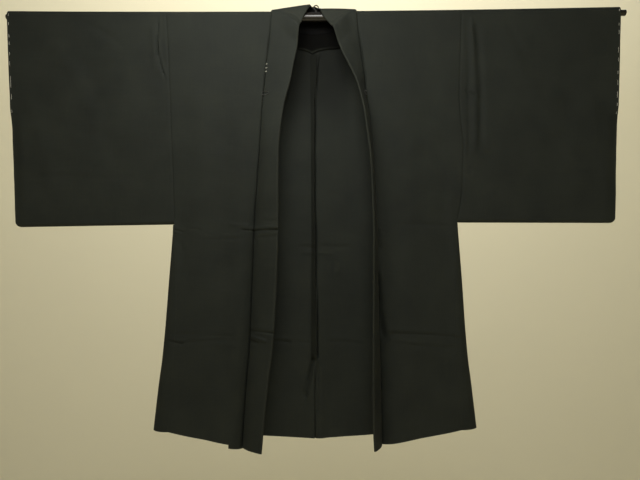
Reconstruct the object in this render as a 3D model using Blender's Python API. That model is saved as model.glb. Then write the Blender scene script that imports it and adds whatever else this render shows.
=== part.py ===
"""A men's unlined haori, hung open by its sleeves on a rod hanger.

Metres, +Z up. +X runs along the rod, +Y away from the open front. The origin is the
point inside the bend of the hook where the hanger bears. "Left" is -X, as seen from
the open front.
"""

import math
from collections import namedtuple

import bmesh
import bpy
from mathutils import Vector

# ---------------------------------------------------------------- sizes, in metres

CLOTH = 0.0014  # one layer of cloth
SEAM_GAP = 0.0004  # air between two pieces along a seam
COLLAR_GAP = 0.0009
FOLD_RADIUS = 0.0016  # middle of the cloth in the turned edge of the collar

ROD_RADIUS = 0.011
ROD_END_RADIUS = 0.00675
ROD_HALF = 0.666  # half of the thick tube, hidden inside the sleeves
ROD_REACH = 0.704  # half of the whole rod, thin ends included
ROD_AXIS_Z = -0.0257
ROD_BOW = 0.0052  # the rod's ends curve up by this much at 0.7 m from its middle
REST = ROD_RADIUS + 0.0005 + CLOTH / 2  # middle of the cloth where it lies on the rod

WIRE_RADIUS = 0.0013
HOOK_RADIUS = 0.0054  # middle of the wire in the bend
FOOT_RADIUS = 0.0034

SLIDE = -0.005  # the garment lies this far off the middle of the rod
SWAY = -0.004  # and its hem hangs this much further to the side
SLEEVE_FOOT_Z = -0.4945  # sleeve seam to the underarm
NECK_HALF = 0.097  # half of the neck slit
NECK_DROP = 0.030  # how far the back neck sags below the rod's axis
NECK_STAND = 0.021  # depth of the back neck behind the rod's axis

SLEEVE_REACH = 0.6915  # centre back to the cuff
CUFF_LEAN = 0.0115  # the sleeve end leans in by this much at its foot
CUFF_OPENING = 0.245  # from the shoulder fold down the sleeve end
SLEEVE_CORNER = 0.012
SLEEVE_FOOT_DROP = 0.0035  # the outer bottom corner hangs lower than the underarm

HEM_SIDE = -0.960
FRONT_HEM_SEAM = -0.9952
BACK_HEM_CENTRE = -0.9940
BACK_DEPTH = 0.027
COLLAR_FOOT_DROP = {-1: 0.0108, 1: -0.0065}  # folded edge below the hem seam
COLLAR_SEAM_DROP = {-1: 0.0068, 1: 0.0}  # seamed edge of the collar below the same point
TURNING_WIDTH = 0.026  # turned-in cloth beside the foot of the left collar
TURNING_TOP_Z = -0.90
TURNING_FOOT_Z = -1.0000

LINING_FOOT_SIDE = -0.089
LINING_FOOT_CENTRE = -0.101
LINING_HALF = 0.088
LINING_GAP = 0.0010
BINDING_HALF = 0.007
BINDING_FOOT = -0.811

LOOP_Z = -0.202
LOOP_LENGTH = 0.018
LOOP_WIDTH = 0.010
LOOP_RADIUS = 0.001

# ------------------------------------------------- tables, a row for each section

# The side edge of the body: the sleeve seam down to the underarm, then the gusset
# seam. left and right are distances from the centre line, depth is in front of and
# behind the rod's axis.
SideRow = namedtuple("SideRow", "z left right depth")
SIDE_ROWS = (
    SideRow(ROD_AXIS_Z, 0.3330, 0.3330, REST),
    SideRow(-0.113, 0.3290, 0.3300, 0.0118),
    SideRow(-0.200, 0.3262, 0.3272, 0.0112),
    SideRow(-0.260, 0.3250, 0.3300, 0.0108),
    SideRow(-0.315, 0.3235, 0.3355, 0.0103),
    SideRow(-0.372, 0.3215, 0.3345, 0.0097),
    SideRow(-0.445, 0.3200, 0.3300, 0.0088),
    SideRow(-0.4945, 0.3185, 0.3205, 0.0080),
    SideRow(-0.600, 0.3150, 0.3160, 0.0105),
    SideRow(-0.700, 0.3130, 0.3135, 0.0140),
    SideRow(-0.800, 0.3180, 0.3180, 0.0170),
    SideRow(-0.960, 0.3290, 0.3280, 0.0200),
)

# The outer fold of the gusset, as a distance from the centre line.
GussetRow = namedtuple("GussetRow", "z fold")
GUSSET_ROWS = (
    GussetRow(-0.4960, 0.3222),
    GussetRow(-0.640, 0.3338),
    GussetRow(-0.733, 0.3406),
    GussetRow(-0.808, 0.3477),
    GussetRow(-0.850, 0.3535),
    GussetRow(-0.960, 0.3665),
)

# The collar down each front: the seam and the folded edge as distances from the
# centre line, and how far the folded edge stands out in front of the seam.
CollarRow = namedtuple("CollarRow", "z seam fold reach")
LEFT_COLLAR_ROWS = (
    CollarRow(-0.060, 0.0985, 0.0331, 0.008),
    CollarRow(-0.103, 0.1035, 0.0375, 0.010),
    CollarRow(-0.133, 0.1070, 0.0442, 0.012),
    CollarRow(-0.172, 0.1110, 0.0515, 0.014),
    CollarRow(-0.238, 0.1175, 0.0680, 0.018),
    CollarRow(-0.337, 0.1245, 0.0792, 0.020),
    CollarRow(-0.516, 0.1387, 0.0818, 0.016),
    CollarRow(-0.669, 0.1446, 0.0871, 0.013),
    CollarRow(-0.762, 0.1478, 0.0925, 0.012),
    CollarRow(-0.857, 0.1550, 0.1036, 0.011),
    CollarRow(-0.995, 0.1655, 0.1180, 0.010),
)
RIGHT_COLLAR_ROWS = (
    CollarRow(-0.060, 0.0995, 0.0430, 0.008),
    CollarRow(-0.093, 0.1035, 0.0537, 0.012),
    CollarRow(-0.117, 0.1070, 0.0624, 0.016),
    CollarRow(-0.136, 0.1095, 0.0713, 0.021),
    CollarRow(-0.165, 0.1130, 0.0841, 0.028),
    CollarRow(-0.190, 0.1130, 0.0935, 0.034),
    CollarRow(-0.261, 0.1205, 0.1085, 0.042),
    CollarRow(-0.388, 0.1262, 0.1215, 0.045),
    CollarRow(-0.518, 0.1320, 0.1243, 0.047),
    CollarRow(-0.689, 0.1378, 0.1240, 0.047),
    CollarRow(-0.815, 0.1443, 0.1240, 0.046),
    CollarRow(-0.958, 0.1474, 0.1258, 0.045),
    CollarRow(-0.995, 0.1472, 0.1275, 0.044),
)

# The folded edge of the collar from the front over the rod to the centre back. turn
# is the angle round the rod that the seam has reached, 180 in front and 0 behind;
# below 0 it is the share of the back neck that the seam has passed, -100 at its middle.
NeckRow = namedtuple("NeckRow", "turn across y z")
LEFT_NECK_ROWS = (
    NeckRow(180, 0.0225, -0.0140, -0.0290),
    NeckRow(150, 0.0178, -0.0125, -0.0200),
    NeckRow(115, 0.0128, -0.0070, -0.0090),
    NeckRow(80, 0.0090, 0.0010, 0.0005),
    NeckRow(40, 0.0068, 0.0095, 0.0045),
    NeckRow(0, 0.0055, 0.0165, 0.0065),
    NeckRow(-25, 0.0042, 0.0215, 0.0082),
    NeckRow(-50, 0.0028, 0.0245, 0.0096),
    NeckRow(-75, 0.0014, 0.0262, 0.0106),
    NeckRow(-100, 0.0000, 0.0270, 0.0110),
)
RIGHT_NECK_ROWS = (
    NeckRow(180, 0.0215, -0.0140, -0.0300),
    NeckRow(150, 0.0175, -0.0130, -0.0218),
    NeckRow(115, 0.0152, -0.0080, -0.0142),
    NeckRow(80, 0.0140, 0.0000, -0.0097),
    NeckRow(40, 0.0120, 0.0090, -0.0042),
    NeckRow(0, 0.0095, 0.0165, 0.0010),
    NeckRow(-25, 0.0070, 0.0215, 0.0056),
    NeckRow(-50, 0.0045, 0.0245, 0.0086),
    NeckRow(-75, 0.0022, 0.0262, 0.0103),
    NeckRow(-100, 0.0000, 0.0270, 0.0110),
)

LEFT, RIGHT = -1, 1

# ------------------------------------------------------------------- reading tables


def follow(rows, column, z, by="z"):
    """Reads one column at height z, on a smooth curve that never overshoots a row."""
    heights = [getattr(row, by) for row in rows]
    values = [getattr(row, column) for row in rows]
    if z >= heights[0]:
        return values[0]
    if z <= heights[-1]:
        return values[-1]
    at = next(i for i in range(len(rows) - 1) if heights[i + 1] <= z)
    rises = [
        (values[i + 1] - values[i]) / (heights[i + 1] - heights[i])
        for i in range(len(rows) - 1)
    ]

    def slope(i):
        before = rises[max(i - 1, 0)]
        after = rises[min(i, len(rises) - 1)]
        return 2 * before * after / (before + after) if before * after > 0 else 0.0

    span = heights[at + 1] - heights[at]
    t = (z - heights[at]) / span
    return (
        values[at] * (2 * t**3 - 3 * t**2 + 1)
        + values[at + 1] * (3 * t**2 - 2 * t**3)
        + span * slope(at) * (t**3 - 2 * t**2 + t)
        + span * slope(at + 1) * (t**3 - t**2)
    )


def mix(a, b, t):
    return a + (b - a) * t


def ease(t):
    """0 below 0, 1 above 1, and a smooth rise between."""
    t = min(max(t, 0.0), 1.0)
    return t * t * (3 - 2 * t)


def centre_line(z):
    """X of the garment's own middle at height z."""
    below = (SLEEVE_FOOT_Z - z) / (SLEEVE_FOOT_Z - HEM_SIDE)
    return SLIDE + SWAY * ease(below)


def place(side, across, y, z):
    """A point given by its distance from the centre line."""
    return Vector((centre_line(z) + side * across, y, z))


# ------------------------------------------------------------------- cloth surfaces


def side_edge(side, z):
    return follow(SIDE_ROWS, "left" if side == LEFT else "right", z)


def side_depth(z):
    return follow(SIDE_ROWS, "depth", z)


def collar_rows(side):
    return LEFT_COLLAR_ROWS if side == LEFT else RIGHT_COLLAR_ROWS


def collar_seam(side, z):
    """Distance from the centre line to the edge of the front, where the collar starts."""
    top = collar_rows(side)[0]
    if z <= top.z:
        return follow(collar_rows(side), "seam", z)
    return mix(top.seam, NECK_HALF, ease((z - top.z) / (ROD_AXIS_Z - top.z)))


def low_share(z):
    """0 at the rod and 1 at the hem."""
    return (ROD_AXIS_Z - z) / (ROD_AXIS_Z - BACK_HEM_CENTRE)


def front_point(side, u, z):
    """The front: u runs from 0 at the side to 1 at the collar seam."""
    across = mix(side_edge(side, z), collar_seam(side, z), u)
    down = low_share(z)
    seam_depth = mix(REST, 0.020, down)
    depth = mix(side_depth(z), seam_depth, ease(u))
    depth += 0.0022 * down * math.sin(math.pi * u)
    depth += 0.0020 * down**2 * math.sin(3 * math.pi * u) * math.sin(math.pi * u)
    return place(side, across, -depth, z)


def front_hem(u):
    return mix(HEM_SIDE, FRONT_HEM_SEAM, u)


def neck_depth(across):
    """Depth of the back where it leaves the rod, or sags away from it at the neck."""
    sag = max(0.0, 1 - (across / NECK_HALF) ** 2)
    return mix(REST, NECK_STAND, sag)


def neckline_z(across):
    sag = max(0.0, 1 - (across / NECK_HALF) ** 2)
    return ROD_AXIS_Z - NECK_DROP * sag


def back_hem(across):
    return mix(BACK_HEM_CENTRE, HEM_SIDE, (across / SIDE_ROWS[-1].left) ** 1.5)


def back_depth(side, across, z):
    """Y of the middle of the back's cloth."""
    down = low_share(z)
    share = 1 - min(across / side_edge(side, z), 1.0) ** 2
    hang = mix(side_depth(z), mix(0.0215, BACK_DEPTH, down), share)
    hang += 0.0025 * down**2 * math.sin(26 * across) * share
    from_neck = mix(neck_depth(across), hang, ease((ROD_AXIS_Z - z) / 0.13))
    return from_neck - tent_fold(side, across, z)


def tent_fold(side, across, z):
    """The soft fold that opens beside the centre seam below the end of its binding."""
    if side == RIGHT:
        return 0.0
    opening = ease((BINDING_FOOT - z) / 0.16)
    middle = 0.010 + 0.012 * opening
    return 0.006 * opening * math.exp(-(((across - middle) / 0.012) ** 2))


def back_point(side, across, z):
    return place(side, across, back_depth(side, across, z), z)


def over_rod(side, across, turn, radius=REST):
    """A point on the cloth round the rod, turn in degrees from back over top to front."""
    angle = math.radians(turn)
    y = radius * math.cos(angle)
    z = ROD_AXIS_Z + radius * math.sin(angle)
    return Vector((SLIDE + side * across, y, z))


# ------------------------------------------------------------------ making objects


def make_material(name, colour, roughness):
    material = bpy.data.materials.new(name)
    material.use_nodes = True
    shader = material.node_tree.nodes["Principled BSDF"]
    shader.inputs["Base Color"].default_value = (*colour, 1.0)
    shader.inputs["Roughness"].default_value = roughness
    material.diffuse_color = (*colour, 1.0)
    return material


def add_object(name, mesh, material):
    obj = bpy.data.objects.new(name, mesh)
    bpy.context.scene.collection.objects.link(obj)
    mesh.materials.append(material)
    return obj


def skin(points, faces):
    """A mesh of the faces, each a list of keys into the dictionary of points."""
    shape = bmesh.new()
    verts = {key: shape.verts.new(point) for key, point in points.items()}
    for face in faces:
        shape.faces.new([verts[key] for key in face])
    bmesh.ops.recalc_face_normals(shape, faces=shape.faces)
    mesh = bpy.data.meshes.new("cloth")
    shape.to_mesh(mesh)
    shape.free()
    return mesh


def cloth_object(name, points, faces, material):
    """A wall of cloth round the given middle surface."""
    mesh = skin(points, faces)
    mesh.shade_smooth()
    obj = add_object(name, mesh, material)
    wall = obj.modifiers.new("Cloth", "SOLIDIFY")
    wall.thickness = CLOTH
    wall.offset = 0.0
    wall.use_rim = True
    wall.use_quality_normals = True
    return obj


def grid_faces(points):
    """A face for each cell of the grid that has all its four corners."""
    faces = []
    for row, column in points:
        cell = [(row, column), (row, column + 1), (row + 1, column + 1), (row + 1, column)]
        if all(key in points for key in cell):
            faces.append(cell)
    return faces


# ------------------------------------------------------------------------- the body

ROD_TURNS = 8
UPPER_LEVELS, LOWER_LEVELS = 12, 10
PANEL_COLUMNS, NECK_COLUMNS = 8, 4
FOOT_FOLD = 0.0070  # depth of the turned bottom of the sleeve


def levels():
    """Heights along the side edge, rod to hem, that neighbouring pieces share."""
    fold_z = SLEEVE_FOOT_Z + FOOT_FOLD
    upper = [
        mix(ROD_AXIS_Z, fold_z, (i / UPPER_LEVELS) ** 1.3) for i in range(UPPER_LEVELS + 1)
    ]
    gusset_z = GUSSET_ROWS[0].z
    return upper + [mix(gusset_z, HEM_SIDE, i / LOWER_LEVELS) for i in range(LOWER_LEVELS + 1)]


def shares():
    """The same heights, as shares of the way from the rod to the hem."""
    return [(ROD_AXIS_Z - z) / (ROD_AXIS_Z - HEM_SIDE) for z in levels()]


def body_panel(side, material):
    """One length of cloth: up the front, over the rod and down the back."""
    points = {}
    steps = shares()
    for row, down in enumerate(steps):
        for column in range(PANEL_COLUMNS + 1):
            u = column / PANEL_COLUMNS
            z = mix(ROD_AXIS_Z, front_hem(u), down)
            points[-row, column] = front_point(side, u, z)
    for step in range(1, ROD_TURNS):
        turn = mix(180, 0, step / ROD_TURNS)
        for column in range(PANEL_COLUMNS + 1):
            across = mix(SIDE_ROWS[0].left, NECK_HALF, column / PANEL_COLUMNS)
            points[step, column] = over_rod(side, across, turn)
    for row, down in enumerate(steps):
        for column in range(PANEL_COLUMNS + NECK_COLUMNS + 1):
            points[ROD_TURNS + row, column] = back_grid_point(side, column, down)
    name = "body_left" if side == LEFT else "body_right"
    return cloth_object(name, points, grid_faces(points), material)


def back_grid_point(side, column, down):
    """A point of the back, with down from 0 at the rod or neckline to 1 at the hem."""
    if column <= PANEL_COLUMNS:
        u = column / PANEL_COLUMNS
        across = mix(SIDE_ROWS[0].left, NECK_HALF, u)
        z = mix(ROD_AXIS_Z, back_hem(across), down)
        across = mix(side_edge(side, z), NECK_HALF, u)
    else:
        v = (column - PANEL_COLUMNS) / NECK_COLUMNS
        across = mix(NECK_HALF, SEAM_GAP / 2, v)
        z = mix(neckline_z(across), back_hem(across), down)
    return back_point(side, across, z)


# ----------------------------------------------------------------------- the sleeves

SLEEVE_STATIONS = 8
FOLD_TURNS = 4


def sleeve_foot(out):
    return SLEEVE_FOOT_Z - SLEEVE_FOOT_DROP * out


def sleeve_end(z):
    """Distance from the centre line to the cuff edge, rounded at the bottom corner."""
    share = (ROD_AXIS_Z - z) / (ROD_AXIS_Z - SLEEVE_FOOT_Z)
    end = SLEEVE_REACH - CUFF_LEAN * share
    into_corner = SLEEVE_CORNER - (z - sleeve_foot(1.0))
    if into_corner > 0:
        into_corner = min(into_corner, SLEEVE_CORNER)
        end -= SLEEVE_CORNER - math.sqrt(SLEEVE_CORNER**2 - into_corner**2)
    return end


def sleeve_across(side, out, z):
    start = side_edge(side, max(z, SLEEVE_FOOT_Z)) + SEAM_GAP
    return mix(start, sleeve_end(z), out)


def sleeve_depth(out, z):
    """Half of the gap between the sleeve's two walls."""
    share = (ROD_AXIS_Z - z) / (ROD_AXIS_Z - SLEEVE_FOOT_Z)
    depth = mix(side_depth(z), mix(REST, 0.0070, ease(share)), ease(out * 2))
    closing = ease((out - 0.93) / 0.07) * ease((cuff_foot() + 0.03 - z) / 0.05)
    return mix(depth, 0.0035, closing)


def cuff_foot():
    return ROD_AXIS_Z + REST - CUFF_OPENING


def sleeve(side, material):
    """A flat tube: over the rod, down the front wall, round the foot, up the back."""
    ring = [("top", mix(0, 180, i / ROD_TURNS)) for i in range(1, ROD_TURNS)]
    ring += [("front", i) for i in range(UPPER_LEVELS + 1)]
    ring += [("foot", mix(180, 360, i / FOLD_TURNS)) for i in range(1, FOLD_TURNS)]
    ring += [("back", i) for i in reversed(range(UPPER_LEVELS + 1))]
    level_z = levels()[: UPPER_LEVELS + 1]

    def ring_point(part, at, out):
        drop = SLEEVE_FOOT_DROP * out
        if part == "top":
            across = mix(SIDE_ROWS[0].left + SEAM_GAP, SLEEVE_REACH, out)
            return over_rod(side, across, at)
        if part == "foot":
            angle = math.radians(at)
            width = sleeve_depth(out, level_z[-1])
            z = level_z[-1] - drop + FOOT_FOLD * math.sin(angle)
            return place(side, sleeve_across(side, out, z), width * math.cos(angle), z)
        z = level_z[at] - drop * at / UPPER_LEVELS
        depth = sleeve_depth(out, z)
        y = -depth if part == "front" else depth
        return place(side, sleeve_across(side, out, z), y, z)

    points = {}
    faces = []
    for station in range(SLEEVE_STATIONS + 1):
        out = ease_out(station / SLEEVE_STATIONS)
        for step, (part, at) in enumerate(ring):
            points[station, step] = ring_point(part, at, out)
    for station in range(SLEEVE_STATIONS):
        for step in range(len(ring)):
            after = (step + 1) % len(ring)
            faces.append(
                [(station, step), (station, after), (station + 1, after), (station + 1, step)]
            )
    close_sleeve_end(side, points, faces, ring, level_z)
    name = "sleeve_left" if side == LEFT else "sleeve_right"
    return cloth_object(name, points, faces, material)


def ease_out(t):
    """Stations that draw together towards the cuff, where the end closes."""
    return 1 - (1 - t) ** 1.35


def close_sleeve_end(side, points, faces, ring, level_z):
    """Joins the two walls at the sleeve end, below the cuff opening."""
    first = next(i for i, z in enumerate(level_z) if z < cuff_foot() + 0.010)
    last = SLEEVE_STATIONS
    for level in range(first, UPPER_LEVELS + 1):
        front = points[last, ring.index(("front", level))]
        back = points[last, ring.index(("back", level))]
        bulge = Vector((side * 0.0020, 0, 0))
        points["end", level] = (front + back) / 2 + bulge
    for level in range(first, UPPER_LEVELS):
        middle = [("end", level), ("end", level + 1)]
        for part in ("front", "back"):
            wall = [(last, ring.index((part, i))) for i in (level + 1, level)]
            faces.append(middle + wall)
    foot = [(last, ring.index(("front", UPPER_LEVELS)) + i) for i in range(FOLD_TURNS + 1)]
    half = FOLD_TURNS // 2
    faces.append([("end", UPPER_LEVELS), *foot[: half + 1]])
    faces.append([("end", UPPER_LEVELS), *foot[half:]])


# ----------------------------------------------------------------------- the gussets

GUSSET_TURNS = 6
GUSSET_GAP = 0.0010


def gusset(side, material):
    """The strip that widens from the underarm to the hem, folded outwards."""
    points = {}
    for row, z in enumerate(levels()[UPPER_LEVELS + 1 :]):
        for column in range(GUSSET_TURNS + 1):
            angle = math.radians(mix(-90, 90, column / GUSSET_TURNS))
            inner = side_edge(side, z) + GUSSET_GAP
            outer = follow(GUSSET_ROWS, "fold", z)
            across = mix(inner, outer, math.cos(angle))
            points[row, column] = place(side, across, side_depth(z) * math.sin(angle), z)
    name = "gusset_left" if side == LEFT else "gusset_right"
    return cloth_object(name, points, grid_faces(points), material)


# ------------------------------------------------------------------------ the collar

LAYER_STEPS = 3
TURN_STEPS = 3


def collar_stations(side):
    """(seam point, folded-edge point, direction across the seam) from hem to centre back."""
    stations = []
    rows = collar_rows(side)
    inwards = Vector((-side, 0, 0))
    for down in reversed(shares()[2:]):
        z = mix(ROD_AXIS_Z, FRONT_HEM_SEAM, down)
        seam = front_point(side, 1.0, z)
        near_hem = ease((-0.90 - z) / 0.09)
        fold_z = z - COLLAR_FOOT_DROP[side] * near_hem
        fold = place(side, follow(rows, "fold", z), seam.y - follow(rows, "reach", z), fold_z)
        seam.z -= COLLAR_SEAM_DROP[side] * near_hem
        stations.append((seam, fold, inwards))
    neck_rows = LEFT_NECK_ROWS if side == LEFT else RIGHT_NECK_ROWS
    turns = [mix(180, 0, i / ROD_TURNS) for i in range(ROD_TURNS + 1)]
    turns += [-100 * i / NECK_COLUMNS for i in range(1, NECK_COLUMNS + 1)]
    for turn in turns:
        across, y, z = (follow(neck_rows, name, turn, by="turn") for name in ("across", "y", "z"))
        fold = Vector((SLIDE + side * across, y, z))
        if turn >= 0:
            seam = over_rod(side, NECK_HALF, turn)
            across_seam = inwards
        else:
            slit = mix(NECK_HALF, SEAM_GAP / 2, -turn / 100)
            seam = Vector((SLIDE + side * slit, neck_depth(slit), neckline_z(slit)))
            across_seam = mix(Vector((0, 0, 1)), inwards, (slit / NECK_HALF) ** 4)
        stations.append((seam, fold, across_seam.normalized()))
    return stations


def collar(side, material):
    """A strip folded outwards in half: inner layer, turned edge, outer layer."""
    stations = collar_stations(side)
    points = {}
    for at, (seam, fold, across_seam) in enumerate(stations):
        before = stations[max(at - 1, 0)]
        after = stations[min(at + 1, len(stations) - 1)]
        along = ((after[0] + after[1]) - (before[0] + before[1])).normalized()
        towards = (fold - seam).normalized()
        outwards = along.cross(towards) * side
        outwards.normalize()
        lean = math.sqrt(max(0.0, 1 - towards.dot(across_seam) ** 2))
        start = seam + across_seam * (COLLAR_GAP + CLOTH / 2 * lean)
        end = fold - towards * FOLD_RADIUS
        lap = mix(-0.003, 0.004, ease((lean - 0.35) / 0.4))
        lift = outwards * 2 * FOLD_RADIUS
        section = [start.lerp(end, i / LAYER_STEPS) for i in range(LAYER_STEPS + 1)]
        for i in range(1, TURN_STEPS):
            turn = math.pi * i / TURN_STEPS
            middle = end + outwards * FOLD_RADIUS
            section.append(
                middle
                + towards * FOLD_RADIUS * math.sin(turn)
                - outwards * FOLD_RADIUS * math.cos(turn)
            )
        free_edge = start + towards * lap + lift
        section += [
            (end + lift).lerp(free_edge, i / LAYER_STEPS) for i in range(LAYER_STEPS + 1)
        ]
        for column, point in enumerate(section):
            points[at, column] = point
    last = len(stations) - 1
    for column in range(len(section)):
        points[last, column].x = SLIDE + side * COLLAR_GAP / 2
    name = "collar_left" if side == LEFT else "collar_right"
    return cloth_object(name, points, grid_faces(points), material)


# ------------------------------------------------------- what lies inside the back


def shoulder_lining(material):
    """The panel inside the back neck, with a pointed lower edge."""
    columns, rows = 12, 3
    points = {}
    for row in range(rows + 1):
        for column in range(columns + 1):
            offset = mix(-LINING_HALF, LINING_HALF, column / columns)
            across = abs(offset)
            side = LEFT if offset < 0 else RIGHT
            top = neckline_z(across) - 0.002
            foot = mix(LINING_FOOT_CENTRE, LINING_FOOT_SIDE, (across / LINING_HALF) ** 0.8)
            z = mix(top, foot, row / rows)
            point = back_point(side, across, z)
            point.y -= CLOTH + LINING_GAP
            points[row, column] = point
    return cloth_object("shoulder_lining", points, grid_faces(points), material)


def back_seam_binding(material):
    """The narrow strip that covers the centre-back seam."""
    rows = 18
    points = {}
    for row in range(rows + 1):
        z = mix(LINING_FOOT_CENTRE - 0.0015, BINDING_FOOT, row / rows)
        for column in range(3):
            offset = BINDING_HALF * (column - 1)
            side = LEFT if offset < 0 else RIGHT
            point = back_point(side, abs(offset), z)
            point.y -= CLOTH + LINING_GAP
            points[row, column] = point
    return cloth_object("back_seam_binding", points, grid_faces(points), material)


def hem_turning(material):
    """Turned-in cloth behind the left front, which shows below its hem by the collar."""
    columns, rows = 3, 4
    points = {}
    for row in range(rows + 1):
        for column in range(columns + 1):
            inner = column / columns
            z = mix(TURNING_TOP_Z, mix(TURNING_FOOT_Z, TURNING_FOOT_Z - 0.004, inner), row / rows)
            seam = collar_seam(LEFT, max(z, FRONT_HEM_SEAM))
            across = seam + 0.002 + TURNING_WIDTH * (1 - inner)
            u = (side_edge(LEFT, z) - across) / (side_edge(LEFT, z) - seam)
            point = front_point(LEFT, u, z)
            point.y += CLOTH + LINING_GAP
            points[row, column] = point
    return cloth_object("hem_turning", points, grid_faces(points), material)


# --------------------------------------------------------------------- cord loops


def cord_loop(side, material):
    """A small closed loop of cord that lies on the collar beside its free edge."""
    seam = front_point(side, 1.0, LOOP_Z)
    rows = collar_rows(side)
    reach = follow(rows, "reach", LOOP_Z)
    fold = place(side, follow(rows, "fold", LOOP_Z), seam.y - reach, LOOP_Z)
    towards = (fold - seam).normalized()
    outwards = Vector((0, 0, 1)).cross(towards) * side
    lift = 2 * FOLD_RADIUS + CLOTH / 2 + LOOP_RADIUS + 0.0008
    past_seam = 0.003 if side == LEFT else -0.003
    middle = seam + towards * (LOOP_LENGTH / 2 - past_seam) + outwards * lift
    curve = bpy.data.curves.new("cord", "CURVE")
    curve.dimensions = "3D"
    curve.bevel_depth = LOOP_RADIUS
    curve.bevel_resolution = 1
    spline = curve.splines.new("POLY")
    steps = 18
    spline.points.add(steps - 1)
    for i in range(steps):
        angle = math.tau * i / steps
        point = (
            middle
            + towards * LOOP_LENGTH / 2 * math.cos(angle)
            + Vector((0, 0, 1)) * LOOP_WIDTH / 2 * math.sin(angle)
        )
        spline.points[i].co = (*point, 1.0)
    spline.use_cyclic_u = True
    name = "cord_loop_left" if side == LEFT else "cord_loop_right"
    return add_object(name, curve, material)


# ---------------------------------------------------------------- rod and hook


def turned_bar(name, profile, material, sides=28):
    """A closed bar turned about the rod's axis, from (x, radius) pairs along it."""
    shape = bmesh.new()
    rings = []
    for x, radius in profile:
        if radius == 0:
            rings.append([shape.verts.new((x, 0, ROD_AXIS_Z))])
            continue
        ring = []
        for i in range(sides):
            angle = math.tau * i / sides
            y = radius * math.cos(angle)
            z = ROD_AXIS_Z + radius * math.sin(angle)
            ring.append(shape.verts.new((x, y, z)))
        rings.append(ring)
    for one, two in zip(rings, rings[1:]):
        for i in range(sides):
            j = (i + 1) % sides
            corners = [one[i % len(one)], one[j % len(one)], two[j % len(two)], two[i % len(two)]]
            shape.faces.new(list(dict.fromkeys(corners)))
    bmesh.ops.recalc_face_normals(shape, faces=shape.faces)
    mesh = bpy.data.meshes.new(name)
    shape.to_mesh(mesh)
    shape.free()
    mesh.shade_smooth()
    mesh.set_sharp_from_angle(angle=math.radians(35))
    return add_object(name, mesh, material)


def rod(enamel):
    edge = 0.001
    lengths = 14
    tube = [
        (mix(-ROD_HALF + edge, ROD_HALF - edge, i / lengths), ROD_RADIUS)
        for i in range(lengths + 1)
    ]
    left_end = [(-ROD_HALF, 0), (-ROD_HALF, ROD_RADIUS - edge)]
    right_end = [(ROD_HALF, ROD_RADIUS - edge), (ROD_HALF, 0)]
    turned_bar("rod_centre", left_end + tube + right_end, enamel)
    for side, name in ((LEFT, "rod_end_left"), (RIGHT, "rod_end_right")):
        inner = side * (ROD_HALF + 0.0003)
        turned_bar(
            name,
            [
                (inner, 0),
                (inner, ROD_END_RADIUS),
                (side * (ROD_REACH - edge), ROD_END_RADIUS),
                (side * ROD_REACH, ROD_END_RADIUS - edge),
                (side * ROD_REACH, 0),
            ],
            enamel,
            sides=20,
        )


def hook(enamel):
    """A round wire hook whose foot is saddled on top of the rod."""
    bend_z = -(HOOK_RADIUS - WIRE_RADIUS)
    foot_z = ROD_AXIS_Z + ROD_RADIUS
    path = [Vector((0, 0, foot_z - 0.002)), Vector((0, 0, foot_z + 0.003))]
    path.append(Vector((-0.0016, 0, foot_z + 0.0060)))
    for i in range(15):
        angle = math.radians(mix(212, -38, i / 14))
        x = HOOK_RADIUS * math.cos(angle)
        path.append(Vector((x, 0, bend_z + HOOK_RADIUS * math.sin(angle))))
    curve = bpy.data.curves.new("wire", "CURVE")
    curve.dimensions = "3D"
    curve.bevel_depth = WIRE_RADIUS
    curve.bevel_resolution = 3
    curve.use_fill_caps = True
    spline = curve.splines.new("POLY")
    spline.points.add(len(path) - 1)
    for i, point in enumerate(path):
        spline.points[i].co = (*point, 1.0)
    guide = bpy.data.objects.new("wire", curve)
    mesh = bpy.data.meshes.new_from_object(guide)
    bpy.data.objects.remove(guide)
    mesh.materials.clear()
    mesh.shade_smooth()
    obj = add_object("hook", mesh, enamel)
    close_seams(mesh)
    foot = helper_cylinder("foot", FOOT_RADIUS, 0.006, Vector((0, 0, foot_z - 0.0015)), False)
    seat = helper_cylinder("seat", ROD_RADIUS + 0.0003, 0.05, Vector((0, 0, ROD_AXIS_Z)), True)
    for helper, operation in ((foot, "UNION"), (seat, "DIFFERENCE")):
        step = obj.modifiers.new(helper.name, "BOOLEAN")
        step.operation = operation
        step.solver = "EXACT"
        step.object = helper
    return obj


def close_seams(mesh):
    """Merges the doubled points that a bevelled curve leaves at its caps."""
    shape = bmesh.new()
    shape.from_mesh(mesh)
    bmesh.ops.remove_doubles(shape, verts=shape.verts, dist=0.00001)
    bmesh.ops.recalc_face_normals(shape, faces=shape.faces)
    shape.to_mesh(mesh)
    shape.free()


def helper_cylinder(name, radius, length, centre, lying):
    """A cylinder that only serves a Boolean: upright, or lying along the rod."""
    shape = bmesh.new()
    bmesh.ops.create_cone(
        shape, cap_ends=True, segments=40, radius1=radius, radius2=radius, depth=length
    )
    mesh = bpy.data.meshes.new(name)
    shape.to_mesh(mesh)
    shape.free()
    obj = bpy.data.objects.new(name, mesh)
    bpy.context.scene.collection.objects.link(obj)
    obj.location = centre
    obj.rotation_euler.y = math.pi / 2 if lying else 0.0
    obj.hide_render = True
    obj.display_type = "WIRE"
    return obj


# ------------------------------------------------------------------------- assembly


def bow_rise(x, z):
    """How far the bowed rod lifts a point; it fades out down the hanging cloth."""
    return ROD_BOW * (x / 0.7) ** 2 * (1 - ease((-0.045 - z) / 0.30))


def follow_bow():
    for mesh in bpy.data.meshes:
        for vertex in mesh.vertices:
            vertex.co.z += bow_rise(vertex.co.x, vertex.co.z)


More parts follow.
